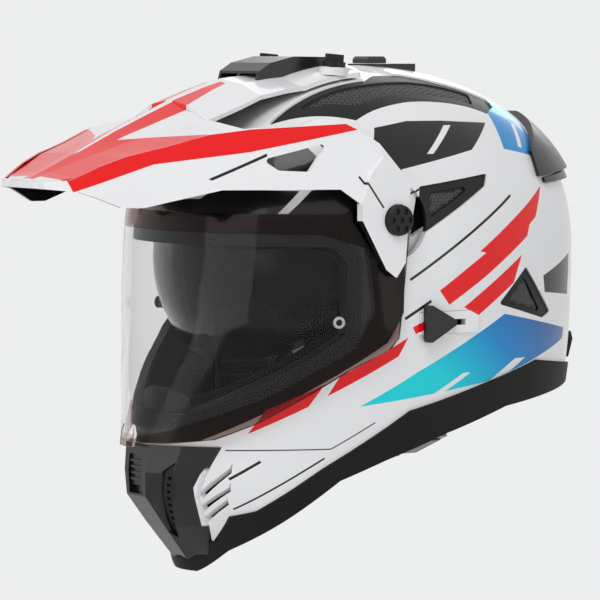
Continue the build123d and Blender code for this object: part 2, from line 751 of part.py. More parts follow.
# Vent slide on the crown, behind the tail
slide_front_share = 0.10
slide_rear_share = 0.32
slide_half_width = 13.0
slide_sink = 9.0
slide_lip = 1.2
slide_front = side_y(slide_front_share)
slide_level = crown_level(0, slide_front) + slide_lip
slide_rear = side_y(slide_rear_share)
slide_base = block(
    -slide_half_width, slide_half_width, slide_front, slide_rear, slide_level - slide_sink, slide_level,
)
slide_base = slide_base - seat_form
slide_knob_length = 15.0
slide_knob_half = 9.0
slide_knob_height = 4.6
grip_count = 3
grip_radius = 1.3
knob_low = slide_level + fit
knob_front = slide_front + slide_lip
slide_knob = block(
    -slide_knob_half, slide_knob_half, knob_front, knob_front + slide_knob_length, knob_low,
    knob_low + slide_knob_height,
)
slide_knob_bevel = 1.84
slide_knob = chamfer(slide_knob.edges().filter_by(Axis.X).group_by(Axis.Z)[-1], slide_knob_bevel)
grips = []
for index in range(grip_count):
    y = knob_front + slide_knob_length * (index + 1) / (grip_count + 1)
    grips.append(across(grip_radius, -wide, wide, y, knob_low + slide_knob_height))
slide_knob = slide_knob - grips
save("top_vent_base", slide_base)
save("top_vent_slider", slide_knob)

# Sun visor: a curved shield that turns about two pins inside the shell
sun_y_share = -0.146
sun_z_share = -0.128
sun_reach = 98.0
sun_half_width = 103.0
sun_wall = 1.8
sun_low_angle = 42.0
sun_high_angle = 10.0
sun_pin_radius = 3.0
sun_hub_radius = 9.0
sun_room = 1.3
sun_profile_shares = ((0.0, 1.0), (0.29, 0.975), (0.53, 0.908), (0.73, 0.806), (0.89, 0.612), (1.0, 0.388))
sun_y = side_y(sun_y_share)
sun_z = side_z(sun_z_share)


def sun_shield(room, low_angle, high_angle):
    """The shield's sector, thickened by some room on both faces."""
    outer = [(x * (sun_half_width + room), r * (sun_reach + room)) for x, r in sun_profile_shares]
    thin = sun_wall + room
    inner = [(x * (sun_half_width - thin), r * (sun_reach - thin)) for x, r in sun_profile_shares]
    run = [Vector(x, -r, 0) for x, r in outer]
    back = [Vector(x, -r, 0) for x, r in reversed(inner)]
    edges = [
        Edge.make_spline(run, tangents=(Vector(1, 0, 0), Vector(0.2, 1, 0))),
        Edge.make_line(run[-1], Vector(run[-1].X, 0, 0)),
        Edge.make_line(Vector(run[-1].X, 0, 0), Vector(back[0].X, 0, 0)),
        Edge.make_line(Vector(back[0].X, 0, 0), back[0]),
        Edge.make_spline(back, tangents=(Vector(-0.2, -1, 0), Vector(-1, 0, 0))),
        Edge.make_line(back[-1], run[0]),
    ]
    face = Face(Wire(edges))
    sector = revolve(face, axis=Axis.X, revolution_arc=low_angle + high_angle)
    half = Rot(-high_angle, 0, 0) * sector
    return half


sun_place = Pos(0, sun_y, sun_z)
sun_half = sun_place * sun_shield(0, sun_low_angle, sun_high_angle)
sun_hub = across(sun_hub_radius, sun_half_width - sun_wall, sun_half_width, sun_y, sun_z)
sun_hub_bore = across(sun_pin_radius + fit, 0, wide, sun_y, sun_z)
notch_half_share = 0.20
notch_height_share = 0.13
notch_half = side_x(notch_half_share)
notch_rise = shell_front * notch_height_share
notch_level = sun_z - sun_reach * math.sin(math.radians(sun_low_angle))
notch_bar = Cylinder(1, 4 * shell_front, rotation=(90, 0, 0))
notch = Pos(0, 0, notch_level) * scale(notch_bar, by=(notch_half, 1, notch_rise))
sun_visor = Part() + [sun_half, other_side(sun_half), *pair([sun_hub])]
sun_visor = sun_visor - [notch, *pair([sun_hub_bore])]
save("sun_visor", sun_visor)

# Pins that the sun visor turns on, each on a block against the inside of the shell
pin_block_radius = 8.0
pin_block_inner = sun_half_width + running_gap
pin_tip = sun_half_width - sun_wall - running_gap
sun_pin = across(pin_block_radius, pin_block_inner, wide, sun_y, sun_z)
sun_pin = (sun_pin + across(sun_pin_radius, pin_tip, pin_block_inner, sun_y, sun_z)) & body(shell_wall + fit)
sun_pin = sun_pin - across(
    pocket_radius + shell_wall + fit, pocket_floor - shell_wall - fit, wide, pivot_y, 0,
)
save("sun_visor_pins", Compound([sun_pin.solids()[0], other_side(sun_pin).solids()[0]]))

# Slider for the sun visor: a flat track in the shell, a pad outside and a stem through it
track_wall = 1.9
track_top = slider_plane + track_wall
track = block(
    slider_plane, track_top, slider_y - slider_lap + fit, slider_y + slider_reach - fit,
    slider_z - slider_track_height / 2 + fit, slider_z + slider_track_height / 2 - fit,
)
track = track - slider_slot
save("slider_track", track)
pad_shares = (
    (-0.105, -0.238), (-0.068, -0.238), (0.06, -0.283), (0.056, -0.295), (-0.068, -0.340), (-0.105, -0.340),
)
pad_low = track_top + fit
pad_thickness = 3.4
pad_round = 2.2
lug_half = 6.0
lug_thickness = 2.0
slider_pad = side_prism(pad_shares, pad_low, pad_low + pad_thickness, pad_round)
stem_end = slider_plane - 2 * shell_wall
stem_z_half = slider_slot_height / 2 - fit
stem = block(
    stem_end, pad_low, slider_y - stem_half, slider_y + stem_half,
    slider_z - stem_z_half, slider_z + stem_z_half,
)
lug = block(
    stem_end - lug_thickness, stem_end, slider_y - stem_half, slider_y + stem_half,
    slider_z - lug_half, slider_z + lug_half,
)
save("sun_slider", slider_pad + [stem, lug])

# Foam liner: fills the shell round the head
pad_half_width = head_half_width + comfort_pad
pad_half_length = head_half_length + comfort_pad
cavity_level = -30.0


def head_room(grow):
    """The head's space: a dome over an upright oval passage."""
    half_x = head_half_width + grow
    half_y = head_half_length + grow
    dome = ellipsoid(half_x, half_y, head_top + grow - cavity_level, (0, head_setback, cavity_level))
    dome = dome & block(-wide, wide, -long_reach, long_reach, cavity_level, 2 * crown_height)
    oval = Pos(0, head_setback, cavity_level) * Ellipse(half_x, half_y)
    oval = extrude(oval, amount=chin_depth, dir=(0, 0, -1))
    return dome + oval


foam_room = head_room(comfort_pad)
foam_form = body(shell_wall + fit)
foam_port = port_band(fit)
foam_shares = (
    (-1.10, -0.02), (-1.10, 0.9), (-0.6, 1.4), (1.2, 1.4), (1.2, -0.40), (0.60, -0.43), (0.23, -0.49),
    (-0.14, -0.56), (-0.36, -0.645), (-0.44, -0.60), (-0.44, -0.02),
)
foam_tool = side_prism(foam_shares, -wide, wide) & above_rim(fit)
screw_room_low = screw_radius_place - screw_boss_depth - fit
screw_room = post(screw_boss_radius + fit, screw_room_low, overrun + crown_height)
boss_room = pair([
    across(pocket_radius + shell_wall + fit, pocket_floor - shell_wall - fit, wide, pivot_y, 0),
    on_crown(screw_room, screw_x),
])
pin_room_inner = sun_half_width - sun_wall - 2 * running_gap
pin_room = pair([across(pin_block_radius + running_gap, pin_room_inner, wide, sun_y, sun_z)])
sun_room_low = 62.0
sun_room_high = 64.0
sun_room_half = sun_place * sun_shield(sun_room, sun_room_low, sun_room_high)
hub_room_inner = sun_half_width - sun_wall - sun_room
hub_room = pair([
    across(sun_hub_radius + running_gap, hub_room_inner, sun_half_width + sun_room, sun_y, sun_z),
])
slider_room = block(
    stem_end - 2 * lug_thickness, wide, slider_y - 2 * stem_half, slider_y + slider_travel + 2 * stem_half,
    slider_z - lug_half - fit, slider_z + lug_half + fit,
)
rivet_y_share = 0.13
rivet_z_share = -0.425
rivet_radius = 3.0
rivet_y = side_y(rivet_y_share)
rivet_z = side_z(rivet_z_share)
rivet_room = pair([across(rivet_radius + running_gap, 0, wide, rivet_y, rivet_z)])
foam_cuts = [foam_room, foam_port, slider_room, *rivet_room, *boss_room, *pin_room, *hub_room]
foam = (foam_form & foam_tool) - [*foam_cuts, *pair([sun_room_half])]
save("foam_liner", foam)

# Foam in the chin bar
chin_foam_shares = (
    (-1.40, -0.30), (-0.45, -0.30), (-0.45, -0.70), (-0.80, -0.875), (-0.86, -0.91), (-1.40, -0.91),
)
chin_foam_wall = 26.0
chin_tool = side_prism(chin_foam_shares, -wide, wide) & above_rim(fit)
chin_foam = (chin_tool & foam_form) - [body(shell_wall + chin_foam_wall), foam_room, foam_port]
save("chin_foam", chin_foam)

# Rubber breath deflector that stands on the chin bar behind the visor
deflector_shares = (
    (0.30, -0.60), (0.24, -0.50), (0.08, -0.475), (-0.08, -0.475), (-0.24, -0.50), (-0.30, -0.60),
)
deflector_wall = 2.6
deflector_tool = front_prism(deflector_shares, -2 * shell_front, -shell_front / 2) & port_band(0)
deflector = (deflector_tool & body(gasket_depth + fit)) - body(gasket_depth + fit + deflector_wall)
save("breath_deflector", deflector)

# Crown pad with sewn channels
crown_pad_level_share = -0.03
channel_share = 0.21
channel_half = 1.6
channel_depth = 3.0
pad_shell = head_room(comfort_pad - fit) - head_room(0)
pad_low_level = side_z(crown_pad_level_share)
crown_pad = pad_shell & block(-wide, wide, -long_reach, long_reach, pad_low_level, 2 * crown_height)
channels = []
for x in (-side_x(channel_share), 0, side_x(channel_share)):
    slit = block(x - channel_half, x + channel_half, -long_reach, long_reach, -crown_height, 2 * crown_height)
    channels.append(head_room(channel_depth) & slit)
crown_pad = crown_pad - channels
save("crown_pad", crown_pad)

# Cheek pads: crowned cushions against the foam, with a sewn channel
cheek_inner_share = 0.42
cheek_place_shares = (-0.335, -0.455)
cheek_half_length = 42.0
cheek_half_height = 44.0
cheek_round = 15.0
cheek_inner = side_x(cheek_inner_share)
cheek_y = side_y(cheek_place_shares[0])
cheek_z = side_z(cheek_place_shares[1])
cheek_block = block(
    cheek_inner, wide, cheek_y - cheek_half_length, cheek_y + cheek_half_length,
    cheek_z - cheek_half_height, cheek_z + cheek_half_height,
)
cheek_block = fillet(cheek_block.edges(), cheek_round)
cheek_oval = extrude(
    Pos(0, head_setback, cavity_level) * Ellipse(pad_half_width - fit, pad_half_length - fit),
    amount=chin_depth, dir=(0, 0, -1),
)
cheek_groove = block(
    0, cheek_inner + channel_depth, -long_reach, long_reach, cheek_z - channel_half, cheek_z + channel_half
)
cheek_pad = (cheek_block & cheek_oval) - cheek_groove
save("cheek_pad_left", cheek_pad)
save("cheek_pad_right", other_side(cheek_pad))

# Neck roll round the back of the opening
roll_shares = (
    (0.26, -0.455), (0.52, -0.405), (0.72, -0.42), (1.1, -0.44), (1.1, -0.33), (0.72, -0.31), (0.45, -0.31),
    (0.26, -0.36),
)
roll_thickness = 15.0
roll_round = 4.0
roll_ring = head_room(comfort_pad - fit) - head_room(comfort_pad - roll_thickness)
neck_roll = roll_ring & side_prism(roll_shares, -wide, wide, roll_round)
save("neck_roll", neck_roll)

# Spoiler across the back of the crown, with an exhaust grille under it
spoiler_shares = ((0.56, 0.25), (0.56, 0.42), (0.74, 0.68), (1.10, 0.56), (1.10, 0.33))
spoiler_stand = 12.0
exhaust_shares = ((0.60, 0.205), (0.60, 0.24), (1.10, 0.318), (1.10, 0.24))
exhaust_stand = 7.0
exhaust_slots = 9
exhaust_pitch_share = 0.10
exhaust_slot_half = 3.4
exhaust_slot_shares = (0.243, 0.277)
spoiler_tool = side_prism(spoiler_shares, -wide, wide)
spoiler = (spoiler_tool & body(-2 * fit, 0, -spoiler_stand)) - seat_form
save("rear_spoiler", spoiler.solids().sort_by(SortBy.VOLUME)[-1])
exhaust_tool = side_prism(exhaust_shares, -wide, wide)
exhaust = (exhaust_tool & body(-2 * fit, 0, -exhaust_stand)) - seat_form
slot_cuts = []
for index in range(exhaust_slots):
    x = (index - (exhaust_slots - 1) / 2) * side_x(exhaust_pitch_share)
    slot_cuts.append(block(
        x - exhaust_slot_half, x + exhaust_slot_half, shell_rear - overrun, shell_rear + overrun,
        side_z(exhaust_slot_shares[0]), side_z(exhaust_slot_shares[1]),
    ))
exhaust = exhaust - slot_cuts
save("rear_exhaust", exhaust.solids().sort_by(SortBy.VOLUME)[-1])

# Clip at the back that keeps a goggle strap in place
clip_shares = (
    (0.34, -0.385), (0.30, -0.44), (-0.30, -0.44), (-0.34, -0.385), (-0.30, -0.365), (0.30, -0.365),
)
clip_inner_shares = ((0.24, -0.30), (0.24, -0.50), (-0.24, -0.50), (-0.24, -0.30))
clip_stand = 9.0
clip_wall = 2.6
clip_tool = front_prism(clip_shares, shell_rear / 2, shell_rear + overrun)
clip_inner = front_prism(clip_inner_shares, shell_rear / 2, shell_rear + overrun)
clip_slot = (clip_inner & body(0, 0, clip_wall - clip_stand)) - body(0, 0, -clip_wall)
clip = (clip_tool & body(0, 0, -clip_stand)) - seat_form - clip_slot
save("goggle_clip", clip.solids().sort_by(SortBy.VOLUME)[-1])

# Chin strap: two webbing straps on rivets, a toothed tongue, a buckle and its lever
strap_width = 24.0
strap_thickness = 1.6
strap_inset = 3.0
strap_x = pad_half_width - strap_inset
strap_front = rivet_y - strap_width / 2


def band(points, thickness):
    """A strap of constant thickness along a route in the X-Z plane."""
    sides = ([], [])
    for index, (x, z) in enumerate(points):
        before = points[max(index - 1, 0)]
        after = points[min(index + 1, len(points) - 1)]
        run = math.hypot(after[0] - before[0], after[1] - before[1])
        across_x = -(after[1] - before[1]) / run * thickness / 2
        across_z = (after[0] - before[0]) / run * thickness / 2
        sides[0].append((x + across_x, strap_front, z + across_z))
        sides[1].append((x - across_x, strap_front, z - across_z))
    return extrude(closed_face(sides[0] + sides[1][::-1]), amount=strap_width, dir=(0, 1, 0))


left_route_shares = ((1.0, -0.395), (1.0, -0.54), (0.965, -0.59), (0.925, -0.612))
right_route_shares = (
    (-1.0, -0.395), (-1.0, -0.54), (-0.93, -0.60), (-0.72, -0.655), (-0.36, -0.695), (0.0, -0.71),
    (0.30, -0.70),
)
left_route = [(x * strap_x, side_z(z)) for x, z in left_route_shares]
right_route = [(x * strap_x, side_z(z)) for x, z in right_route_shares]
rivet_hole = pair([across(rivet_radius, 0, wide, rivet_y, rivet_z)])
strap_left = band(left_route, strap_thickness) - rivet_hole
strap_right = band(right_route, strap_thickness) - rivet_hole
save("strap_left", strap_left)
save("strap_right", strap_right)
rivet_head_radius = 5.5
rivet_head = 1.5
strap_face = strap_x - strap_thickness / 2
rivet = across(rivet_radius - fit / 2, strap_face, wide, rivet_y, rivet_z) & foam_form
rivet = rivet + across(rivet_head_radius, strap_face - rivet_head, strap_face, rivet_y, rivet_z)
save("strap_rivets", Compound([rivet.solids()[0], other_side(rivet).solids()[0]]))

buckle_length = 34.0
buckle_width = 27.0
buckle_height = 7.0
buckle_wall = 1.6
tongue_thickness = 2.4
tongue_length = 46.0
tongue_width = 16.0
tooth_count = 9
tooth_depth = 0.8
lever_thickness = 2.2
buckle_start = left_route[-1]
tongue_end = right_route[-1]
buckle_slope = math.degrees(math.atan2(buckle_start[1] - tongue_end[1], buckle_start[0] - tongue_end[0]))


def at_buckle(shape):
    """Put a shape made along -X, from the end of the short strap, in its place."""
    return Pos(buckle_start[0], rivet_y, buckle_start[1]) * Rot(0, -buckle_slope, 0) * shape


def slab(x_from, x_to, width, z_from, z_to):
    return block(x_from, x_to, -width / 2, width / 2, z_from, z_to)


gap = math.hypot(buckle_start[0] - tongue_end[0], buckle_start[1] - tongue_end[1])
buckle = slab(-running_gap - buckle_length, -running_gap, buckle_width, -buckle_height / 2, buckle_height / 2)
tongue_half = tongue_thickness / 2
lever_low = -tongue_half - 2 * fit
lever_room_width = buckle_width - 2 * buckle_wall
throat_half = tongue_half + fit
throat = slab(-2 * buckle_length, -4 * buckle_wall, tongue_width + 2 * fit, -throat_half, throat_half)
lever_room = slab(-2 * buckle_length, -3 * buckle_wall, lever_room_width, -buckle_height, lever_low)
save("buckle_body", at_buckle(buckle - throat - lever_room))
tongue_start = -gap + fit
tooth_first_share = 0.3
tooth_run_share = 0.6
tooth_turn = 45.0
tongue = slab(tongue_start, tongue_start + tongue_length, tongue_width, -tongue_half, tongue_half)
tongue_teeth = []
for index in range(tooth_count):
    x = tongue_start + tongue_length * (tooth_first_share + tooth_run_share * index / tooth_count)
    tooth = Rot(0, tooth_turn, 0) * Box(tooth_depth, tongue_width + fit, tooth_depth)
    tongue_teeth.append(Pos(x, 0, tongue_half) * tooth)
save("strap_tongue", at_buckle(tongue - tongue_teeth))
lever_pin_x = -4.5 * buckle_wall
lever_length = buckle_length - 3 * buckle_wall
lever_round = lever_thickness / 2
lever_top = lever_low - fit
lever_width = lever_room_width - 2 * fit
lever = slab(lever_pin_x - lever_length, lever_pin_x, lever_width, lever_top - lever_thickness, lever_top)
lever_pin = Pos(lever_pin_x, 0, lever_top - lever_round) * Rot(90, 0, 0) * Cylinder(lever_round, lever_width)
lever = lever + lever_pin
save("buckle_lever", at_buckle(lever))
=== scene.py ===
# %% [markdown]
# # Dual sport helmet
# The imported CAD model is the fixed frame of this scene, in metres, with +Z up and the
# front of the helmet towards -Y. Everything below dresses that frame: finishes for the
# hard parts, padded pieces for the lining, webbing for the strap and the small details
# that a product photograph shows.

# %% Load the frame
import math

import bmesh
import bpy
from mathutils import Matrix, Vector
from mathutils.bvhtree import BVHTree


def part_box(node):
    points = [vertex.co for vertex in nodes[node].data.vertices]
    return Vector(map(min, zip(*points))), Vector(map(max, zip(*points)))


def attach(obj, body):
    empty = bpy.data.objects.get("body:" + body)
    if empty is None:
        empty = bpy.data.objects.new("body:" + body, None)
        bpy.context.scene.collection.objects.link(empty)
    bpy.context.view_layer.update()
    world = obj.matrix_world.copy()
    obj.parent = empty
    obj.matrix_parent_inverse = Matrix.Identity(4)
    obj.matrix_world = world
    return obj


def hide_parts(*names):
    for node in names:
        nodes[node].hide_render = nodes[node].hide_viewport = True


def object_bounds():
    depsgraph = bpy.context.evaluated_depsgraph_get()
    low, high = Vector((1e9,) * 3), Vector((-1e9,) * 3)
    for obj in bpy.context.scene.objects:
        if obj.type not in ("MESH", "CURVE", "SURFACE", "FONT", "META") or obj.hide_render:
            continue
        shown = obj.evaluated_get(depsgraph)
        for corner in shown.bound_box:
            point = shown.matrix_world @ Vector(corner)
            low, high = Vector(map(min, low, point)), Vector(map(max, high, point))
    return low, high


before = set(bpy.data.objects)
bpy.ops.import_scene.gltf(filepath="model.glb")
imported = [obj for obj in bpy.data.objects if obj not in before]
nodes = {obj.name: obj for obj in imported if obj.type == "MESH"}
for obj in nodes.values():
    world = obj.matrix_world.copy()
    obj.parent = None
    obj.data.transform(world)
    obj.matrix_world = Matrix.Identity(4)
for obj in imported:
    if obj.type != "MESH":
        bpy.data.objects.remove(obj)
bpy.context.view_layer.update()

# %% [markdown]
# ## Camera
# The photograph was taken with a long lens from the wearer's front left, a little above
# the pivots. The camera stands at the same bearing, and looks at the same point.

# %% Camera
camera_place = Vector((2.0814, -1.3816, 0.1149))
camera_target = Vector((-0.0102, -0.0233, -0.0595))
camera_lens = 223.9

camera_data = bpy.data.cameras.new("camera")
camera_data.lens = camera_lens
camera = bpy.data.objects.new("camera", camera_data)
camera.location = camera_place
camera.rotation_euler = (camera_target - camera_place).to_track_quat("-Z", "Y").to_euler()
bpy.context.scene.collection.objects.link(camera)
bpy.context.scene.camera = camera
print("camera", [round(v, 3) for v in camera.location])

# %% [markdown]
# ## Shader helpers
# Every finish is a small node tree. These helpers add a node, set its inputs and join
# sockets, so that a material below reads as a short list of steps.

# %% Shader helpers
def add_node(tree, kind, **inputs):
    """Add a node, and set or join its inputs by name or number."""
    node = tree.nodes.new(kind)
    for key, value in inputs.items():
        index = int(key[1:]) if key.startswith("i") and key[1:].isdigit() else None
        socket = node.inputs[index] if index is not None else node.inputs[key.replace("_", " ")]
        if isinstance(value, bpy.types.NodeSocket):
            tree.links.new(value, socket)
        else:
            socket.default_value = value
    return node


def maths(tree, operation, first, second=0.0, clamp=False):
    """A Math node on two numbers or sockets."""
    node = tree.nodes.new("ShaderNodeMath")
    node.operation = operation
    node.use_clamp = clamp
    for socket, value in zip(node.inputs, (first, second)):
        if isinstance(value, bpy.types.NodeSocket):
            tree.links.new(value, socket)
        else:
            socket.default_value = value
    return node.outputs[0]


def blend_colours(tree, share, first, second):
    """Mix two colours by a share."""
    node = tree.nodes.new("ShaderNodeMix")
    node.data_type = "RGBA"
    sockets = (node.inputs[0], node.inputs[6], node.inputs[7])
    for socket, value in zip(sockets, (share, first, second)):
        if isinstance(value, bpy.types.NodeSocket):
            tree.links.new(value, socket)
        else:
            socket.default_value = value
    return node.outputs[2]


def colour(red, green, blue):
    """A colour as it looks on a screen, from 0 to 255, turned into Blender's linear values."""
    def linear(value):
        share = value / 255
        return share / 12.92 if share <= 0.04045 else ((share + 0.055) / 1.055) ** 2.4
    return (linear(red), linear(green), linear(blue), 1.0)


def new_finish(name):
    """An empty material with its Principled shader, returned as tree and shader."""
    material = bpy.data.materials.new(name)
    material.use_nodes = True
    shader = material.node_tree.nodes["Principled BSDF"]
    return material, material.node_tree, shader


def dress(names, material):
    """Give CAD nodes a finish."""
    for name in names:
        slots = nodes[name].data.materials
        slots.clear()
        slots.append(material)


print("helpers ready")

# %% [markdown]
# ## Shared surface effects
# Real lacquer is never quite level, and satin plastic has a fine moulded grain. Each effect
# is one node group, built once and placed in several finishes with different values.

# %% Shared surface effects
def new_group(name, inputs, outputs):
    """A shader node group with named value inputs and named outputs."""
    group = bpy.data.node_groups.new(name, "ShaderNodeTree")
    for label, default in inputs:
        socket = group.interface.new_socket(name=label, in_out="INPUT", socket_type="NodeSocketFloat")
        socket.default_value = default
    for label, kind in outputs:
        group.interface.new_socket(name=label, in_out="OUTPUT", socket_type=kind)
    return group, group.nodes.new("NodeGroupInput"), group.nodes.new("NodeGroupOutput")


def place_group(tree, group, **inputs):
    node = add_node(tree, "ShaderNodeGroup")
    node.node_tree = group
    for key, value in inputs.items():
        node.inputs[key.replace("_", " ")].default_value = value
    return node


grain_group, source, sink = new_group(
    "surface_grain",
    [("Scale", 900.0), ("Roughness", 0.4), ("Spread", 0.1)],
    [("Height", "NodeSocketFloat"), ("Roughness", "NodeSocketFloat")],
)
where = add_node(grain_group, "ShaderNodeTexCoord").outputs["Object"]
fine = add_node(grain_group, "ShaderNodeTexNoise", Vector=where, Scale=source.outputs["Scale"], Detail=3.0)
broad = add_node(grain_group, "ShaderNodeTexNoise", Vector=where, Scale=18.0, Detail=4.0)
swing = maths(grain_group, "SUBTRACT", broad.outputs["Fac"], 0.5)
swing = maths(grain_group, "MULTIPLY", swing, source.outputs["Spread"])
rough = maths(grain_group, "ADD", source.outputs["Roughness"], swing, clamp=True)
grain_group.links.new(fine.outputs["Fac"], sink.inputs["Height"])
grain_group.links.new(rough, sink.inputs["Roughness"])

weave_slant = 0.7
weave_group, source, sink = new_group(
    "thread_weave",
    [("Threads", 900.0)],
    [("Height", "NodeSocketFloat"), ("Shade", "NodeSocketFloat")],
)
where = add_node(weave_group, "ShaderNodeTexCoord").outputs["Object"]
apart = add_node(weave_group, "ShaderNodeSeparateXYZ", Vector=where)
slant = maths(weave_group, "MULTIPLY", apart.outputs["X"], weave_slant)
along = maths(weave_group, "ADD", apart.outputs["Z"], slant)
over = maths(weave_group, "ADD", apart.outputs["Y"], slant)
warp = maths(weave_group, "SINE", maths(weave_group, "MULTIPLY", along, source.outputs["Threads"]))
weft = maths(weave_group, "SINE", maths(weave_group, "MULTIPLY", over, source.outputs["Threads"]))
crossing = maths(weave_group, "MULTIPLY", warp, weft)
height = maths(weave_group, "ADD", maths(weave_group, "MULTIPLY", crossing, 0.5), 0.5)
# The Shade output is painted shade: darker where the weave is low, with a random tone from this noise.
tint = add_node(weave_group, "ShaderNodeTexNoise", Vector=where, Scale=60.0, Detail=5.0)
shade = maths(weave_group, "MULTIPLY", height, maths(weave_group, "ADD", tint.outputs["Fac"], 0.45))
weave_group.links.new(height, sink.inputs["Height"])
weave_group.links.new(shade, sink.inputs["Shade"])
print("effects", [g.name for g in bpy.data.node_groups])

# %% [markdown]
# ## Painted panels
# Graphics on a helmet are masked, sprayed and lacquered over, so they have no thickness.
# Each panel here is a convex outline seen from the side, the front or above. A point is
# inside when it lies inside all its edges, so the mask is the smallest of those distances,
# turned into a crisp step. Masks are worked out from the place on the object alone.

# %% Painted panels
paint_edge = 0.00025


def painted_place(tree):
    """The place on the object with both sides folded on to the wearer's left."""
    where = add_node(tree, "ShaderNodeTexCoord").outputs["Object"]
    apart = add_node(tree, "ShaderNodeSeparateXYZ", Vector=where)
    folded = maths(tree, "ABSOLUTE", apart.outputs["X"])
    joined = add_node(tree, "ShaderNodeCombineXYZ", X=folded, Y=apart.outputs["Y"], Z=apart.outputs["Z"])
    return joined.outputs[0]


def panel_mask(tree, place, plane, corners):
    """1 inside a convex outline whose corners are in millimetres, 0 outside it."""
    first, second = {"side": (1, 2), "front": (0, 2), "plan": (0, 1)}[plane]
    points = [(a / 1000, b / 1000) for a, b in corners]
    area = sum(p[0] * q[1] - q[0] * p[1] for p, q in zip(points, points[1:] + points[:1]))
    if area < 0:
        points.reverse()
    inside = None
    for start, end in zip(points, points[1:] + points[:1]):
        run = math.hypot(end[0] - start[0], end[1] - start[1])
        normal = [0.0, 0.0, 0.0]
        normal[first] = -(end[1] - start[1]) / run
        normal[second] = (end[0] - start[0]) / run
        dot = add_node(tree, "ShaderNodeVectorMath", i0=place, i1=normal)
        dot.operation = "DOT_PRODUCT"
        reach = normal[first] * start[0] + normal[second] * start[1]
        distance = maths(tree, "SUBTRACT", dot.outputs["Value"], reach)
        inside = distance if inside is None else maths(tree, "MINIMUM", inside, distance)
    step = maths(tree, "DIVIDE", inside, paint_edge)
    return maths(tree, "ADD", step, 0.5, clamp=True)


def stripe(start, end, thick):
    """The corners of a thin straight stripe between two places."""
    run = math.hypot(end[0] - start[0], end[1] - start[1])
    across = (-(end[1] - start[1]) / run * thick / 2, (end[0] - start[0]) / run * thick / 2)
    return [
        (start[0] + across[0], start[1] + across[1]), (end[0] + across[0], end[1] + across[1]),
        (end[0] - across[0], end[1] - across[1]), (start[0] - across[0], start[1] - across[1]),
    ]


print("paint edge", paint_edge, "m")

# %% [markdown]
# ## Colours
# The paints are named once. The blue panel is sprayed from cyan at its lower front to navy
# at its upper back, so its ramp leans, and has a start and a length.

# %% Colours
white = colour(238, 238, 240)
red = colour(238, 4, 10)
black = colour(20, 20, 22)
cyan = colour(0, 214, 226)
azure = colour(0, 140, 214)
navy = colour(44, 84, 152)
ramp_lean = 1.2
ramp_start = -0.18
ramp_length = 0.20
cyan_share = 0.3
azure_rise = 2.9
azure_share = 0.62
navy_rise = 2.6
print("white", [round(v, 3) for v in white])

# %% [markdown]
# ## Inside of the peak
# The peak is painted outside, and black on its faces that look down or towards its middle.
# Which side a face is on can't be told from its place alone, so each face is marked once in
# an attribute of the mesh, and the paint reads that mark.

# %% Inside of the peak
down_turn = -0.35
inward_turn = -0.5


def mark_inside(name):
    """Store 1 on a node's faces that look down or towards its middle, and 0 on the others."""
    data = nodes[name].data
    inside = data.attributes.new("inside", "FLOAT", "POINT")
    for face in data.polygons:
        outwards = math.copysign(face.normal.x, face.normal.x * face.center.x)
        if face.normal.z < down_turn or outwards < inward_turn:
            for vertex in face.vertices:
                inside.data[vertex].value = 1.0
    print(name, "faces marked", sum(1 for item in inside.data if item.value > 0) // 3)


mark_inside("peak")

# %% [markdown]
# ## Lacquer
# The shell, the chin guard and the peak are painted and then lacquered. The lacquer is a
# coat over the paint, with a very slight waviness that only shows where a light is
# reflected. Layers of paint are given as a colour and its panels, first to last.

# %% Lacquer
def lacquer(name, layers, ramp=None, base=white, black_marked_faces=False):
    """Lacquer over a base colour, with painted layers, and black on the faces marked inside when asked
    for.
    """
    material, tree, shader = new_finish(name)
    place = painted_place(tree)
    paint = base
    for tint, panels in layers:
        mask = None
        for plane, corners in panels:
            one = panel_mask(tree, place, plane, corners)
            mask = one if mask is None else maths(tree, "MAXIMUM", mask, one)
        if tint == "ramp":
            tint = ramp(tree, place)
        paint = blend_colours(tree, mask, paint, tint)
    # Black on the faces marked inside, those that look down or towards the middle.
    if black_marked_faces:
        inside = add_node(tree, "ShaderNodeAttribute")
        inside.attribute_name = "inside"
        paint = blend_colours(tree, inside.outputs["Fac"], paint, black)
    grain = place_group(tree, grain_group, Scale=260.0, Roughness=0.30, Spread=0.06)
    tree.links.new(paint, shader.inputs["Base Color"])
    tree.links.new(grain.outputs["Roughness"], shader.inputs["Roughness"])
    bump = add_node(tree, "ShaderNodeBump", Strength=0.012, Distance=0.001, Height=grain.outputs["Height"])
    tree.links.new(bump.outputs["Normal"], shader.inputs["Normal"])
    shader.inputs["Coat Weight"].default_value = 0.4
    shader.inputs["Coat Roughness"].default_value = 0.06
    shader.inputs["Specular IOR Level"].default_value = 0.22
    return material


def blue_ramp(tree, place):
    """Cyan at the lower front, through azure, to navy at the upper back."""
    apart = add_node(tree, "ShaderNodeSeparateXYZ", Vector=place)
    along = maths(tree, "ADD", apart.outputs["Y"], maths(tree, "MULTIPLY", apart.outputs["Z"], ramp_lean))
    share = maths(tree, "DIVIDE", maths(tree, "SUBTRACT", along, ramp_start), ramp_length)
    past_cyan = maths(tree, "SUBTRACT", share, cyan_share)
    past_azure = maths(tree, "SUBTRACT", share, azure_share)
    front_part = maths(tree, "MULTIPLY", past_cyan, azure_rise, clamp=True)
    rear_part = maths(tree, "MULTIPLY", past_azure, navy_rise, clamp=True)
    return blend_colours(tree, rear_part, blend_colours(tree, front_part, cyan, azure), navy)


print("lacquer ready")

# %% [markdown]
# ## Painted design
# Corners are in millimetres, seen from the side as (front to back, height). The shell has
# black beds round the visor and behind the peak, red bars that lean like speed lines, one
# blue panel low down and thin black lines. The guard and the peak have a few panels each.

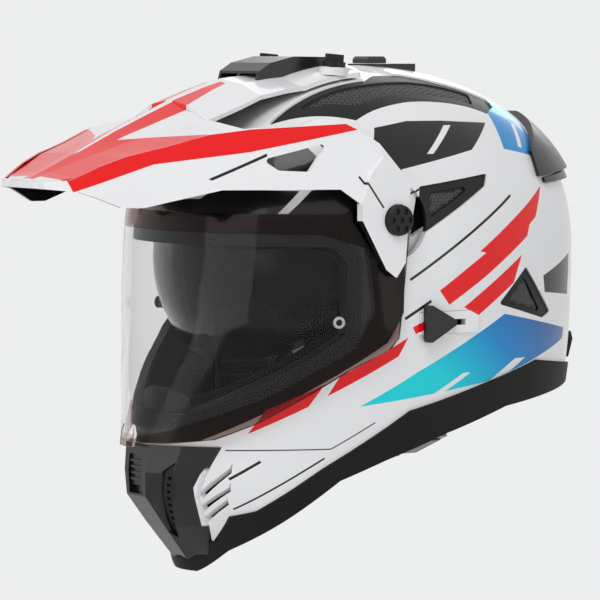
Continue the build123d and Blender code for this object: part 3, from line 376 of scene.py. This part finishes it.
# %% Painted design
visor_bed = [
    (-28, -18), (-28, -60), (-40, -82), (-92, -116), (-131, -143), (-170, -149), (-170, 6), (-60, 22),
]
shell_black = [
    ("side", visor_bed),
    ("side", [(-42, 40), (-33, 58), (-8, 62), (18, 62), (60, 60), (36, 43), (-32, 30)]),
    ("side", [(-134, 3), (-122, 19), (-64, 18), (-72, 1)]),
    ("side", [(-132, 22), (-130, 52), (-84, 58), (-66, 24)]),
    ("side", [(94, -41), (134, -28), (132, -56), (96, -52)]),
    ("side", stripe((-56, 12), (-24, 32), 1.6)),
    ("side", stripe((-54, -5), (-14, 19), 1.4)),
    ("side", stripe((62, 13), (-24, -39), 1.8)),
    ("side", stripe((-27, -64), (-8, -53), 2.0)),
    ("side", stripe((-122, -149), (-66, -148), 0.8)),
    ("side", stripe((-66, -148), (-41, -131), 0.8)),
    ("side", stripe((-119, -168), (-104, -156), 1.8)),
    ("side", stripe((-114, -188), (-69, -154), 1.2)),
]
shell_white = [
    ("side", [(-2, 41), (3, 41), (26, 59), (20, 59)]),
    ("side", [(-101, 4), (-96, 4), (-82, 19), (-88, 19)]),
]
shell_red = [
    ("side", [(30, -22), (60, -4), (98, 20), (86, -2), (48, -26)]),
    ("side", [(-2, -46), (20, -33), (60, -8), (84, 6), (76, -14), (34, -40), (6, -56)]),
    ("side", [(18, -58), (70, -26), (62, -44), (30, -64)]),
    ("side", [(-66, -100), (-24, -76), (-30, -88), (-72, -113)]),
    ("side", [(-104, -122), (-74, -105), (-82, -120), (-112, -138)]),
    ("side", stripe((-20, -72), (-2, -62), 5.0)),
]
shell_blue = [
    ("side", [(-62, -126), (-14, -98), (54, -64), (126, -78), (120, -97), (46, -107), (-14, -124)]),
]
shell_azure = [("side", [(67, 43), (108, 36), (106, 58), (69, 68)])]
shell_cyan = [("side", [(69, 68), (106, 58), (104, 66), (70, 77)])]
shell_slash = [
    ("side", [(-24, -126), (-18, -126), (26, -101), (20, -101)]),
    ("side", [(40, -109), (50, -109), (76, -94), (66, -94)]),
    ("side", [(84, 44), (88, 43), (94, 58), (90, 59)]),
]
shell_lacquer = lacquer(
    "shell_lacquer",
    [(black, shell_black), (white, shell_white), (red, shell_red), ("ramp", shell_blue),
     (azure, shell_azure), (cyan, shell_cyan), (white, shell_slash)],
    blue_ramp,
)
guard_lacquer = lacquer("guard_lacquer", [
    (white, [("front", [(53, -148), (37, -174), (33, -199), (33, -211), (70, -240), (90, -150)])]),
], base=black)
peak_lacquer = lacquer("peak_lacquer", [
    (red, [
        ("side", [(-228, 19), (-182, 36), (-182, 50), (-232, 30)]),
        ("side", [(-183, 36), (-126, 44), (-126, 58), (-183, 50)]),
        ("side", [(-127, 44), (-60, 58), (-58, 62), (-127, 58)]),
        ("plan", [(0, -236), (7, -236), (22, -130), (13, -96), (6, -96)]),
    ]),
    (black, [
        ("side", stripe((-64, 28), (-49, 8), 1.4)),
        ("side", [(-150, 26), (-118, 41), (-118, 43), (-152, 27)]),
    ]),
], black_marked_faces=True)
print("lacquers ready")

# %% [markdown]
# ## Plastics, rubber, metal and foam
# Satin black plastic keeps a moulded grain, rubber is duller and finer, screws are brushed
# steel, and the impact foam shows the beads that it was moulded from, with painted shade
# between them.

# %% Plastics, rubber, metal and foam
grain_height = 0.0004
cloud_scale = 35.0
cloud_dark = 0.82


def moulded(name, tint, rough, scale, strength, coat=0.0, metallic=0.0, spread=0.12):
    """Grained plastic, rubber or metal from one tint."""
    material, tree, shader = new_finish(name)
    grain = place_group(tree, grain_group, Scale=scale, Roughness=rough, Spread=spread)
    where = add_node(tree, "ShaderNodeTexCoord").outputs["Object"]
    cloud = add_node(tree, "ShaderNodeTexNoise", Vector=where, Scale=cloud_scale, Detail=4.0)
    darker = tuple(v * cloud_dark for v in tint[:3]) + (1.0,)
    paint = blend_colours(tree, cloud.outputs["Fac"], darker, tint)
    tree.links.new(paint, shader.inputs["Base Color"])
    tree.links.new(grain.outputs["Roughness"], shader.inputs["Roughness"])
    height = grain.outputs["Height"]
    bump = add_node(tree, "ShaderNodeBump", Strength=strength, Distance=grain_height, Height=height)
    tree.links.new(bump.outputs["Normal"], shader.inputs["Normal"])
    shader.inputs["Metallic"].default_value = metallic
    shader.inputs["Coat Weight"].default_value = coat
    shader.inputs["Coat Roughness"].default_value = 0.2
    shader.inputs["Specular IOR Level"].default_value = 0.22
    return material


satin_black = moulded("satin_black", colour(30, 30, 32), 0.42, 1400.0, 0.25)
trim_black = moulded("trim_black", colour(30, 30, 32), 0.32, 1200.0, 0.12, coat=0.25)
rubber_black = moulded("rubber_black", colour(18, 18, 19), 0.6, 1900.0, 0.06)
mesh_black = moulded("mesh_black", colour(38, 38, 40), 0.50, 1000.0, 0.20)
screw_steel = moulded("screw_steel", colour(150, 150, 152), 0.30, 700.0, 0.10, metallic=1.0)


bead_height = 0.0006


def beaded(name, tint):
    """Moulded foam with the cells of its beads, and painted shade towards each bead's rim."""
    material, tree, shader = new_finish(name)
    where = add_node(tree, "ShaderNodeTexCoord").outputs["Object"]
    cells = add_node(tree, "ShaderNodeTexVoronoi", Vector=where, Scale=420.0)
    # Painted shade: each bead turns darker towards its rim, where the bump sinks it.
    darker = tuple(v * 0.5 for v in tint[:3]) + (1.0,)
    paint = blend_colours(tree, cells.outputs["Distance"], tint, darker)
    tree.links.new(paint, shader.inputs["Base Color"])
    height = cells.outputs["Distance"]
    bump = add_node(tree, "ShaderNodeBump", Strength=0.5, Distance=bead_height, Height=height)
    bump.invert = True
    tree.links.new(bump.outputs["Normal"], shader.inputs["Normal"])
    shader.inputs["Roughness"].default_value = 0.85
    shader.inputs["Specular IOR Level"].default_value = 0.1
    return material


impact_foam = beaded("impact_foam", colour(20, 20, 21))
print("plastics ready")

# %% [markdown]
# ## Clear and smoked shields
# The visor is a clear injection moulded shield with a slight smoke tint, so it is glass
# with a thin coloured body. The sun visor is the same stuff, dyed much darker.

# %% Clear and smoked shields
def shield(name, tint, rough, border=None, window=None):
    """A moulded shield that light passes straight through, smoked outside its window."""
    material, tree, shader = new_finish(name)
    shader.inputs["Base Color"].default_value = tint
    if window:
        mask = panel_mask(tree, painted_place(tree), "side", window)
        tree.links.new(blend_colours(tree, mask, border, tint), shader.inputs["Base Color"])
    shader.inputs["Transmission Weight"].default_value = 1.0
    shader.inputs["IOR"].default_value = 1.2
    grain = place_group(tree, grain_group, Scale=300.0, Roughness=rough, Spread=0.02)
    tree.links.new(grain.outputs["Roughness"], shader.inputs["Roughness"])
    shader.inputs["Metallic"].default_value = 0.0
    return material


clear_window = [(-180, -8), (-84, -9), (-56, -18), (-50, -58), (-62, -82), (-104, -112), (-180, -152)]
clear_shield = shield("clear_shield", colour(244, 243, 244), 0.02, colour(172, 152, 146), clear_window)
smoke_shield = shield("smoke_shield", colour(120, 116, 120), 0.04)
print("shields ready")

# %% [markdown]
# ## Cloth
# The lining is a knitted polyester over foam, and the chin strap is woven webbing.

# %% Cloth
thread_height = 0.0005
weave_valley_shade = 0.45


def cloth(name, tint, threads, strength):
    """Knitted or woven cloth with a soft sheen, and painted shade in the low parts of its weave."""
    material, tree, shader = new_finish(name)
    weave = place_group(tree, weave_group, Threads=threads)
    # Painted shade: the cloth is darker where its weave is low, and the noise gives it a random tone.
    darker = tuple(v * weave_valley_shade for v in tint[:3]) + (1.0,)
    paint = blend_colours(tree, weave.outputs["Shade"], darker, tint)
    tree.links.new(paint, shader.inputs["Base Color"])
    height = weave.outputs["Height"]
    bump = add_node(tree, "ShaderNodeBump", Strength=strength, Distance=thread_height, Height=height)
    tree.links.new(bump.outputs["Normal"], shader.inputs["Normal"])
    shader.inputs["Roughness"].default_value = 0.9
    shader.inputs["Specular IOR Level"].default_value = 0.08
    shader.inputs["Sheen Weight"].default_value = 0.08
    shader.inputs["Sheen Roughness"].default_value = 0.5
    return material


lining_cloth = cloth("lining_cloth", colour(22, 22, 24), 5200.0, 0.45)
strap_webbing = cloth("strap_webbing", colour(48, 48, 50), 4200.0, 0.7)
print("cloth ready")

# %% [markdown]
# ## Finishes of the CAD nodes
# Each piece gets one finish by name, so a change of finish for a group of pieces is one
# line here. Further down, finer meshes take the place of the pads and straps, and get the
# same finish as they have here.

# %% Finishes of the CAD nodes
both = ("left", "right")
dress(["outer_shell", "slider_track"], shell_lacquer)
dress(["chin_guard"], guard_lacquer)
dress(["peak"], peak_lacquer)
dress([f"{place}_vent_{side}" for place in ("crown", "side", "rear") for side in both], satin_black)
dress([f"{place}_mesh_{side}" for place in ("crown", "side", "rear", "chin") for side in both], mesh_black)
dress(["eyeport_gasket", "lower_trim", "breath_deflector", "goggle_clip"], rubber_black)
dress(["chin_vent_shutter", "top_scoop", "top_vent_base", "top_vent_slider", "sun_slider"], trim_black)
dress(["visor_base_left", "visor_base_right", "visor_pins", "sun_visor_pins"], satin_black)
dress(["rear_spoiler", "rear_exhaust"], trim_black)
dress([f"{part}_{side}" for part in ("side_knob", "top_screw") for side in both], satin_black)
dress(["plate_screws", "strap_rivets", "buckle_body"], screw_steel)
dress(["visor"], clear_shield)
dress(["sun_visor"], smoke_shield)
dress(["foam_liner", "chin_foam"], impact_foam)
dress(["crown_pad", "cheek_pad_left", "cheek_pad_right", "neck_roll"], lining_cloth)
dress(["strap_left", "strap_right"], strap_webbing)
dress(["strap_tongue", "buckle_lever"], trim_black)
print("dressed", len(nodes))

# %% [markdown]
# ## Padded lining
# The crown pad, the cheek pads and the neck roll are foam in a knitted cover. A cushion
# swells between its seams, so each starts a little smaller than its space, is remeshed
# evenly, and is blown up a few millimetres as cloth under pressure. The sewn channels are
# pressed in afterwards, because remeshing would remove them.

# %% Padded lining
pad_voxel = 0.005
pad_shrink = 0.0028
pad_cap = 0.0045
pad_pressure = 4.0
sim_frames = 20


def join_scene(piece):
    bpy.context.scene.collection.objects.link(piece)
    return piece


def welded_copy(node, title):
    """A copy of a CAD node's mesh with its loose triangles merged."""
    mesh = bmesh.new()
    mesh.from_mesh(nodes[node].data)
    bmesh.ops.remove_doubles(mesh, verts=mesh.verts, dist=1e-5)
    bmesh.ops.recalc_face_normals(mesh, faces=mesh.faces)
    data = bpy.data.meshes.new(title)
    mesh.to_mesh(data)
    mesh.free()
    return join_scene(bpy.data.objects.new(title, data))


def settle(piece):
    """Turn a piece's modifiers into plain mesh."""
    view = bpy.context.evaluated_depsgraph_get()
    data = bpy.data.meshes.new_from_object(piece.evaluated_get(view))
    piece.modifiers.clear()
    old = piece.data
    piece.data = data
    bpy.data.meshes.remove(old)
    return piece


def remeshed(piece, voxel):
    even = piece.modifiers.new("even", "REMESH")
    even.mode = "VOXEL"
    even.voxel_size = voxel
    return settle(piece)


def draw_in(piece, depth):
    """Move every point inwards along its normal."""
    data = piece.data
    normals = [v.normal.copy() for v in data.vertices]
    for vertex, normal in zip(data.vertices, normals):
        vertex.co -= normal * depth
    data.update()


def blow_up(piece):
    """Swell a piece as cloth under pressure, and cap how far each point may move."""
    start = [v.co.copy() for v in piece.data.vertices]
    modifier = piece.modifiers.new("cloth", "CLOTH")
    settings = modifier.settings
    settings.use_pressure = True
    settings.uniform_pressure_force = pad_pressure
    settings.effector_weights.gravity = 0.0
    settings.quality = 4
    modifier.point_cache.frame_start = 1
    modifier.point_cache.frame_end = sim_frames
    scene = bpy.context.scene
    for number in range(1, sim_frames + 1):
        scene.frame_set(number)
    view = bpy.context.evaluated_depsgraph_get()
    swollen = [v.co.copy() for v in piece.evaluated_get(view).data.vertices]
    piece.modifiers.clear()
    scene.frame_set(1)
    for vertex, old, new in zip(piece.data.vertices, start, swollen):
        move = new - old
        if move.length > pad_cap:
            move *= pad_cap / move.length
        vertex.co = old + move
    piece.data.update()


def smooth_out(piece, levels):
    finer = piece.modifiers.new("finer", "SUBSURF")
    finer.levels = levels
    finer.render_levels = levels
    settle(piece)
    piece.data.shade_smooth()


def pad(node, title):
    """A swollen pad in the space of a CAD solid."""
    piece = remeshed(welded_copy(node, title), pad_voxel)
    draw_in(piece, pad_shrink)
    blow_up(piece)
    smooth_out(piece, 1)
    piece.data.materials.clear()
    piece.data.materials.append(lining_cloth)
    print(title, "points", len(piece.data.vertices))
    return piece


print("pad voxel", pad_voxel, "m, at most", pad_cap, "m of swelling")

# %% [markdown]
# ## Crown pad and neck roll
# The crown pad has three channels from front to back, and the neck roll one along its
# middle. A channel is a plane or a curve given as a distance, and points near it sink in
# along a smooth cosine, which looks like a pulled thread line.

# %% Crown pad and neck roll
def press_seam(piece, distance, width, depth):
    """Press a sewn channel into a pad where a distance function is near zero."""
    data = piece.data
    normals = [v.normal.copy() for v in data.vertices]
    for vertex, normal in zip(data.vertices, normals):
        share = abs(distance(vertex.co)) / width
        if share < 1:
            vertex.co -= normal * depth * (0.5 + 0.5 * math.cos(math.pi * share))
    data.update()


def keep(piece, node, body="helmet"):
    """The piece stands for a CAD node and rides with its body."""
    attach(piece, body)
    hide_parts(node)
    return piece


seam_width = 0.007
seam_depth = 0.0028
crown = pad("crown_pad", "crown_lining")
low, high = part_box("crown_pad")
crown_reach = high[0]
crown_seam_shares = (-0.31, 0.0, 0.31)
for share in crown_seam_shares:
    press_seam(crown, lambda point, share=share: point[0] - share * crown_reach, seam_width, seam_depth)
keep(crown, "crown_pad")

roll = pad("neck_roll", "neck_lining")
low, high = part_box("neck_roll")
roll_seam = (low[2] + high[2]) / 2 + 0.006
press_seam(roll, lambda point: point[2] - roll_seam, seam_width, seam_depth)
keep(roll, "neck_roll")

# %% [markdown]
# ## Cheek pads
# Each cheek pad has a straight channel and an oval one, where its thicker middle is sewn
# in. The right pad is the left one mirrored, with its faces turned back outwards.

# %% Cheek pads
cheek = pad("cheek_pad_left", "cheek_lining_left")
low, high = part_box("cheek_pad_left")
cheek_middle = (low[2] + high[2]) / 2
cheek_centre = (low[1] + high[1]) / 2
oval_squash = 0.8
oval_radius = 0.031
press_seam(cheek, lambda point: point[2] - cheek_middle, seam_width, seam_depth)


def from_oval(point):
    """How far a point is from the oval seam of the cheek pad, seen from the side."""
    return math.hypot((point[1] - cheek_centre) / oval_squash, point[2] - cheek_middle) - oval_radius


press_seam(cheek, from_oval, seam_width, seam_depth)


def mirrored(piece, title):
    """The same piece on the other side, with its faces still outwards."""
    other = piece.copy()
    other.data = piece.data.copy()
    other.name = title
    other.data.transform(Matrix.Scale(-1, 4, (1, 0, 0)))
    other.data.flip_normals()
    return join_scene(other)


cheek_right = mirrored(cheek, "cheek_lining_right")
for piece, side in ((cheek, "left"), (cheek_right, "right")):
    keep(piece, f"cheek_pad_{side}")

# %% [markdown]
# ## Chin strap
# Webbing is a flat woven tape with a slightly rounded edge. A thin band of the CAD model
# gives its route, and a small bevel rounds its edges, so it keeps its real thickness.

# %% Chin strap
webbing_round = 0.0005
for side in both:
    strap = welded_copy(f"strap_{side}", f"strap_webbing_{side}")
    edge = strap.modifiers.new("edge", "BEVEL")
    edge.width = webbing_round
    edge.segments = 2
    settle(strap)
    strap.data.materials.clear()
    strap.data.materials.append(strap_webbing)
    keep(strap, f"strap_{side}")
print("straps ready")

# %% [markdown]
# ## Small things that repeat
# Perforations, their rims and stitches are one small shape set many times on a surface.
# Python finds the places, as points with a direction, and one Geometry Nodes tree sets the
# shape on each. The tree's sizes are named inputs, and it ends in plain mesh.

# %% Small things that repeat
down = Vector((0, 0, -1))
left_in = Vector((-1, 0, 0))
ahead = Vector((0, 1, 0))
aside = Vector((1, 0, 0))
up = Vector((0, 0, 1))


def repeat_tree(name, shape, material):
    """A tree that sets a disc, ring or capsule on every point, along its direction."""
    tree = bpy.data.node_groups.new(name, "GeometryNodeTree")
    face = tree.interface
    face.new_socket(name="Geometry", in_out="INPUT", socket_type="NodeSocketGeometry")
    sizes = {
        label: face.new_socket(name=label, in_out="INPUT", socket_type="NodeSocketFloat").identifier
        for label in ("Radius", "Depth", "Length")
    }
    sizes["Sides"] = face.new_socket(name="Sides", in_out="INPUT", socket_type="NodeSocketInt").identifier
    face.new_socket(name="Geometry", in_out="OUTPUT", socket_type="NodeSocketGeometry")
    source = tree.nodes.new("NodeGroupInput")
    sink = tree.nodes.new("NodeGroupOutput")
    link = tree.links.new
    if shape == "ring":
        outline = tree.nodes.new("GeometryNodeCurvePrimitiveCircle")
        link(source.outputs["Sides"], outline.inputs["Resolution"])
        link(source.outputs["Radius"], outline.inputs["Radius"])
        profile = tree.nodes.new("GeometryNodeCurvePrimitiveCircle")
        profile.inputs["Resolution"].default_value = 5
        link(source.outputs["Depth"], profile.inputs["Radius"])
        made = tree.nodes.new("GeometryNodeCurveToMesh")
        link(outline.outputs[0], made.inputs["Curve"])
        link(profile.outputs[0], made.inputs["Profile Curve"])
    else:
        made = tree.nodes.new("GeometryNodeMeshCylinder")
        link(source.outputs["Sides"], made.inputs["Vertices"])
        link(source.outputs["Radius"], made.inputs["Radius"])
        link(source.outputs["Depth"], made.inputs["Depth"])
        if shape == "stitch":
            stretched = tree.nodes.new("GeometryNodeTransform")
            spread = tree.nodes.new("ShaderNodeCombineXYZ")
            link(source.outputs["Length"], spread.inputs["X"])
            spread.inputs["Y"].default_value = 1.0
            spread.inputs["Z"].default_value = 1.0
            link(made.outputs[0], stretched.inputs["Geometry"])
            link(spread.outputs[0], stretched.inputs["Scale"])
            made = stretched
    turn = tree.nodes.new("GeometryNodeInputNamedAttribute")
    turn.data_type = "FLOAT_VECTOR"
    turn.inputs["Name"].default_value = "turn"
    placed = tree.nodes.new("GeometryNodeInstanceOnPoints")
    link(source.outputs["Geometry"], placed.inputs["Points"])
    link(made.outputs[0], placed.inputs["Instance"])
    link(turn.outputs["Attribute"], placed.inputs["Rotation"])
    real = tree.nodes.new("GeometryNodeRealizeInstances")
    link(placed.outputs[0], real.inputs[0])
    finish = tree.nodes.new("GeometryNodeSetMaterial")
    finish.inputs["Material"].default_value = material
    link(real.outputs[0], finish.inputs["Geometry"])
    link(finish.outputs[0], sink.inputs[0])
    return tree, sizes


def turned(normal, along=None):
    """Euler angles that point Z along a normal, and X along a direction."""
    z = Vector(normal).normalized()
    guide = Vector(along) if along is not None else up
    x = guide - z * guide.dot(z)
    if x.length < 1e-4:
        x = aside - z * z.x
    x.normalize()
    y = z.cross(x)
    return Matrix((x, y, z)).transposed().to_euler()


def repeated(title, places, shape, material, radius, depth, length=1.0, sides=10):
    """One piece with a small shape on every (point, normal, direction)."""
    data = bpy.data.meshes.new(title)
    data.from_pydata([p[0] for p in places], [], [])
    attribute = data.attributes.new("turn", "FLOAT_VECTOR", "POINT")
    for item, (_, normal, along) in zip(attribute.data, places):
        item.vector = turned(normal, along)
    piece = join_scene(bpy.data.objects.new(title, data))
    tree, sizes = repeat_tree(title, shape, material)
    modifier = piece.modifiers.new("repeat", "NODES")
    modifier.node_group = tree
    modifier[sizes["Radius"]] = radius
    modifier[sizes["Depth"]] = depth
    modifier[sizes["Length"]] = length
    modifier[sizes["Sides"]] = sides
    settle(piece)
    print(title, len(places), "places", len(piece.data.polygons), "faces")
    return piece


print("shapes to repeat: disc, ring, stitch")

# %% [markdown]
# ## Places on a surface
# A search tree over a mesh finds where a ray meets it. A grid of rays gives staggered
# places, and one whose neighbours miss the surface lies too near the edge and is dropped.

# %% Places on a surface
def surface_finder(data):
    """A search tree over a mesh's faces, for finding points on it."""
    mesh = bmesh.new()
    mesh.from_mesh(data)
    found = BVHTree.FromBMesh(mesh)
    mesh.free()
    return found


row_share = 0.866


def grid_on(node, direction, pitch, sideways, upwards, margin):
    """Staggered places where rays along a direction meet a node, away from its edges."""
    finder = surface_finder(nodes[node].data)
    low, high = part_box(node)
    middle = (low + high) / 2
    reach = (high - low).length
    columns = int(reach / pitch)
    places = []
    for row in range(-columns, columns + 1):
        for column in range(-columns, columns + 1):
            shift = 0.5 * (row % 2)
            start = middle + sideways * (column + shift) * pitch + upwards * row * pitch * row_share
            origin = start - direction * reach
            point, normal, _, _ = finder.ray_cast(origin, direction)
            if point is None:
                continue
            steps = (sideways * margin, sideways * -margin, upwards * margin, upwards * -margin)
            edges_clear = all(finder.ray_cast(origin + step, direction)[0] is not None for step in steps)
            if edges_clear:
                if normal.dot(direction) > 0:
                    normal = -normal
                places.append((point, normal, upwards))
    return places


print("rows of a grid stand", row_share, "of a pitch apart")

# %% [markdown]
# ## Stitching
# Thread runs along both edges of the strap and on each side of a cushion's seams. A row
# is found by casting rays at the finished surface, and a stitch is set wherever the row
# has gone one pitch further.

# %% Stitching
stitch_pitch = 0.0032
stitch_half_width = 0.0003
stitch_height = 0.0004
stitch_stretch = 3.6
stitch_inset = 0.0022
seam_offset = 0.0050
row_step = 0.0006
thread_grey = moulded("thread_grey", colour(74, 74, 78), 0.7, 2600.0, 0.3)


def thread_row(finder, rays):
    """Stitches where a row of rays, each a start and a direction, meets a surface."""
    places = []
    last = None
    for start, direction in rays:
        point, normal, _, _ = finder.ray_cast(start, direction)
        if point is None:
            last = None
            continue
        if normal.dot(direction) > 0:
            normal = -normal
        if last is None:
            last = point
            continue
        gone = point - last
        if gone.length > 2 * stitch_pitch:
            last = point
        elif gone.length > stitch_pitch:
            places.append((point, normal, gone))
            last = point
    return places


def sewn(title, places):
    """Stitches that ride with the helmet."""
    piece = repeated(
        title, places, "stitch", thread_grey, stitch_half_width, stitch_height, stitch_stretch, sides=8,
    )
    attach(piece, "helmet")
    return piece


strap_far = 0.25
strap_middle = -0.06
strap_rays = 1400
for side in both:
    low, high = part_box(f"strap_{side}")
    finder = surface_finder(nodes[f"strap_{side}"].data)
    places = []
    for y in (low[1] + stitch_inset, high[1] - stitch_inset):
        rays = []
        for index in range(strap_rays):
            turn = math.pi + math.pi * index / strap_rays
            way = Vector((math.cos(turn), 0, math.sin(turn)))
            rays.append((Vector((0, y, strap_middle)) + way * strap_far, -way))
        places += thread_row(finder, rays)
    sewn(f"strap_stitches_{side}", places)

finder = surface_finder(cheek.data)
low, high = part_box("cheek_pad_left")
row_count = int((high[1] - low[1]) / row_step)
places = []
for z in (cheek_middle - seam_offset, cheek_middle + seam_offset):
    starts = [Vector((0, low[1] + index * row_step, z)) for index in range(row_count)]
    rays = [(start, aside) for start in starts]
    places += thread_row(finder, rays)
cheek_thread = sewn("cheek_stitches_left", places)
other = mirrored(cheek_thread, "cheek_stitches_right")
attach(other, "helmet")

finder = surface_finder(crown.data)
low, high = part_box("crown_pad")
row_count = int((high[1] - low[1]) / row_step)
places = []
for share in crown_seam_shares:
    for offset in (-seam_offset, seam_offset):
        x = share * crown_reach + offset
        starts = [Vector((x, low[1] + index * row_step, low[2])) for index in range(row_count)]
        rays = [(start, up) for start in starts]
        places += thread_row(finder, rays)
sewn("crown_stitches", places)

# %% [markdown]
# ## Vent meshes
# The crown vents carry a plate of round holes, and the side and rear vents one with finer
# holes. A hole is drawn as a very dark disc, painted shade where the open hole would be,
# with a thin raised rim, which is how a moulded mesh looks from outside. The left plates
# are made, and the right ones are mirrored from them.

# %% Vent meshes
# Painted shade: each hole is a near-black disc that stands for the shade inside an open hole.
hole_dark, hole_tree, hole_shader = new_finish("hole_dark")
hole_shader.inputs["Roughness"].default_value = 0.9
hole_grain = place_group(hole_tree, grain_group, Scale=600.0, Roughness=0.9, Spread=0.05)
painted_hole_tint = blend_colours(hole_tree, hole_grain.outputs["Height"], colour(4, 4, 4), colour(9, 9, 9))
hole_tree.links.new(painted_hole_tint, hole_shader.inputs["Base Color"])
rim_grey = moulded("rim_grey", colour(118, 118, 122), 0.38, 1200.0, 0.1)

hole_depth = 0.0003
rim_thickness = 0.00024
rim_growth = 1.12
mesh_plans = {
    "crown": (down, aside, ahead, 0.0034, 0.00115),
    "side": (left_in, ahead, up, 0.0026, 0.00085),
    "rear": (left_in, ahead, up, 0.0026, 0.00085),
}
for place, (way, sideways, upwards, pitch, radius) in mesh_plans.items():
    places = grid_on(f"{place}_mesh_left", way, pitch, sideways, upwards, pitch * 0.5)
    holes = repeated(f"{place}_holes_left", places, "disc", hole_dark, radius, hole_depth)
    rims = repeated(f"{place}_rims_left", places, "ring", rim_grey, radius * rim_growth, rim_thickness)
    for piece in (holes, rims):
        other = mirrored(piece, piece.name.replace("left", "right"))
        for each in (piece, other):
            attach(each, "helmet")

# %% [markdown]
# ## Rings of the visor pins
# Each pin that holds an inner lens shows a light ring round its dark head. The ring lies
# on the outer face of the head, square to the pin, and moves with the visor.

# %% Rings of the visor pins
pin_turn = math.radians(25.2)
ring_radius = 0.0029
ring_thickness = 0.0010
ring_silver = moulded("ring_silver", colour(196, 196, 200), 0.30, 900.0, 0.05)
pin_way = Vector((math.cos(pin_turn), -math.sin(pin_turn), 0))
head_points = [v.co for v in nodes["visor_pins"].data.vertices if v.co.x > 0]
head_reach = max(point.dot(pin_way) for point in head_points)
face_points = [point for point in head_points if point.dot(pin_way) > head_reach - 1e-5]
face_middle = sum(face_points, Vector()) / len(face_points)
ring_place = [(face_middle, pin_way, up)]
pin_ring = repeated(
    "pin_ring_left", ring_place, "ring", ring_silver, ring_radius, ring_thickness, sides=24,
)
for each in (pin_ring, mirrored(pin_ring, "pin_ring_right")):
    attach(each, "visor")
print("pin rings at", [round(v, 4) for v in face_middle])

# %% [markdown]
# ## Studio
# A pale floor well below the helmet, one large soft light above and in front, weaker ones
# in front, at the side and behind, and an even pale world. The floor and world show as
# plain pale grey, also in reflections and through the visor.

# %% Studio
floor_drop = 0.16
glow_strength = 1.02
glow_share = 0.95
backdrop_tint = colour(237, 238, 238)
low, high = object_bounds()
floor_level = low[2] - floor_drop


def seen_directly(tree):
    """1 for what the camera sees, also through the visor or in a reflection, 0 for other light."""
    path = add_node(tree, "ShaderNodeLightPath")
    seen = maths(tree, "MAXIMUM", path.outputs["Is Camera Ray"], path.outputs["Is Glossy Ray"])
    return maths(tree, "MAXIMUM", seen, path.outputs["Is Transmission Ray"])


def stage_finish(name, tint):
    """A floor that shows a plain tint to the camera, and keeps soft shadows."""
    material, tree, shader = new_finish(name)
    shader.inputs["Base Color"].default_value = tint
    shader.inputs["Roughness"].default_value = 0.9
    glow = add_node(tree, "ShaderNodeEmission", Color=tint, Strength=glow_strength)
    share = maths(tree, "MULTIPLY", seen_directly(tree), glow_share)
    mix = tree.nodes.new("ShaderNodeMixShader")
    tree.links.new(share, mix.inputs[0])
    tree.links.new(shader.outputs[0], mix.inputs[1])
    tree.links.new(glow.outputs[0], mix.inputs[2])
    tree.links.new(mix.outputs[0], tree.nodes["Material Output"].inputs["Surface"])
    return material


bpy.ops.mesh.primitive_plane_add(size=14, location=(0, 0, floor_level))
floor = bpy.context.object
floor.name = "studio_floor"
floor.data.materials.append(stage_finish("studio_floor", backdrop_tint))

world = bpy.data.worlds.new("studio_world")
bpy.context.scene.world = world
world.use_nodes = True
sky = world.node_tree.nodes["Background"]
sky.inputs["Color"].default_value = backdrop_tint
world_light = 0.45
strength = maths(world.node_tree, "MULTIPLY", seen_directly(world.node_tree), 1.0 - world_light)
strength = maths(world.node_tree, "ADD", strength, world_light)
world.node_tree.links.new(strength, sky.inputs["Strength"])


def soft_light(name, place, size, power):
    """A square area light that faces the helmet."""
    data = bpy.data.lights.new(name, "AREA")
    data.size = size
    data.energy = power
    lamp = bpy.data.objects.new(name, data)
    lamp.location = place
    lamp.rotation_euler = (Vector((0, 0, -0.05)) - Vector(place)).to_track_quat("-Z", "Y").to_euler()
    bpy.context.scene.collection.objects.link(lamp)


soft_light("key", (1.1, -1.1, 1.9), 1.4, 26.0)
soft_light("front_fill", (0.3, -2.4, 0.4), 1.6, 10.0)
soft_light("side_fill", (2.4, 0.9, 0.5), 1.6, 8.0)
soft_light("back_fill", (-1.6, 1.6, 1.2), 1.4, 10.0)
bpy.context.scene.view_settings.view_transform = "Standard"
print("floor level", round(floor_level, 3))
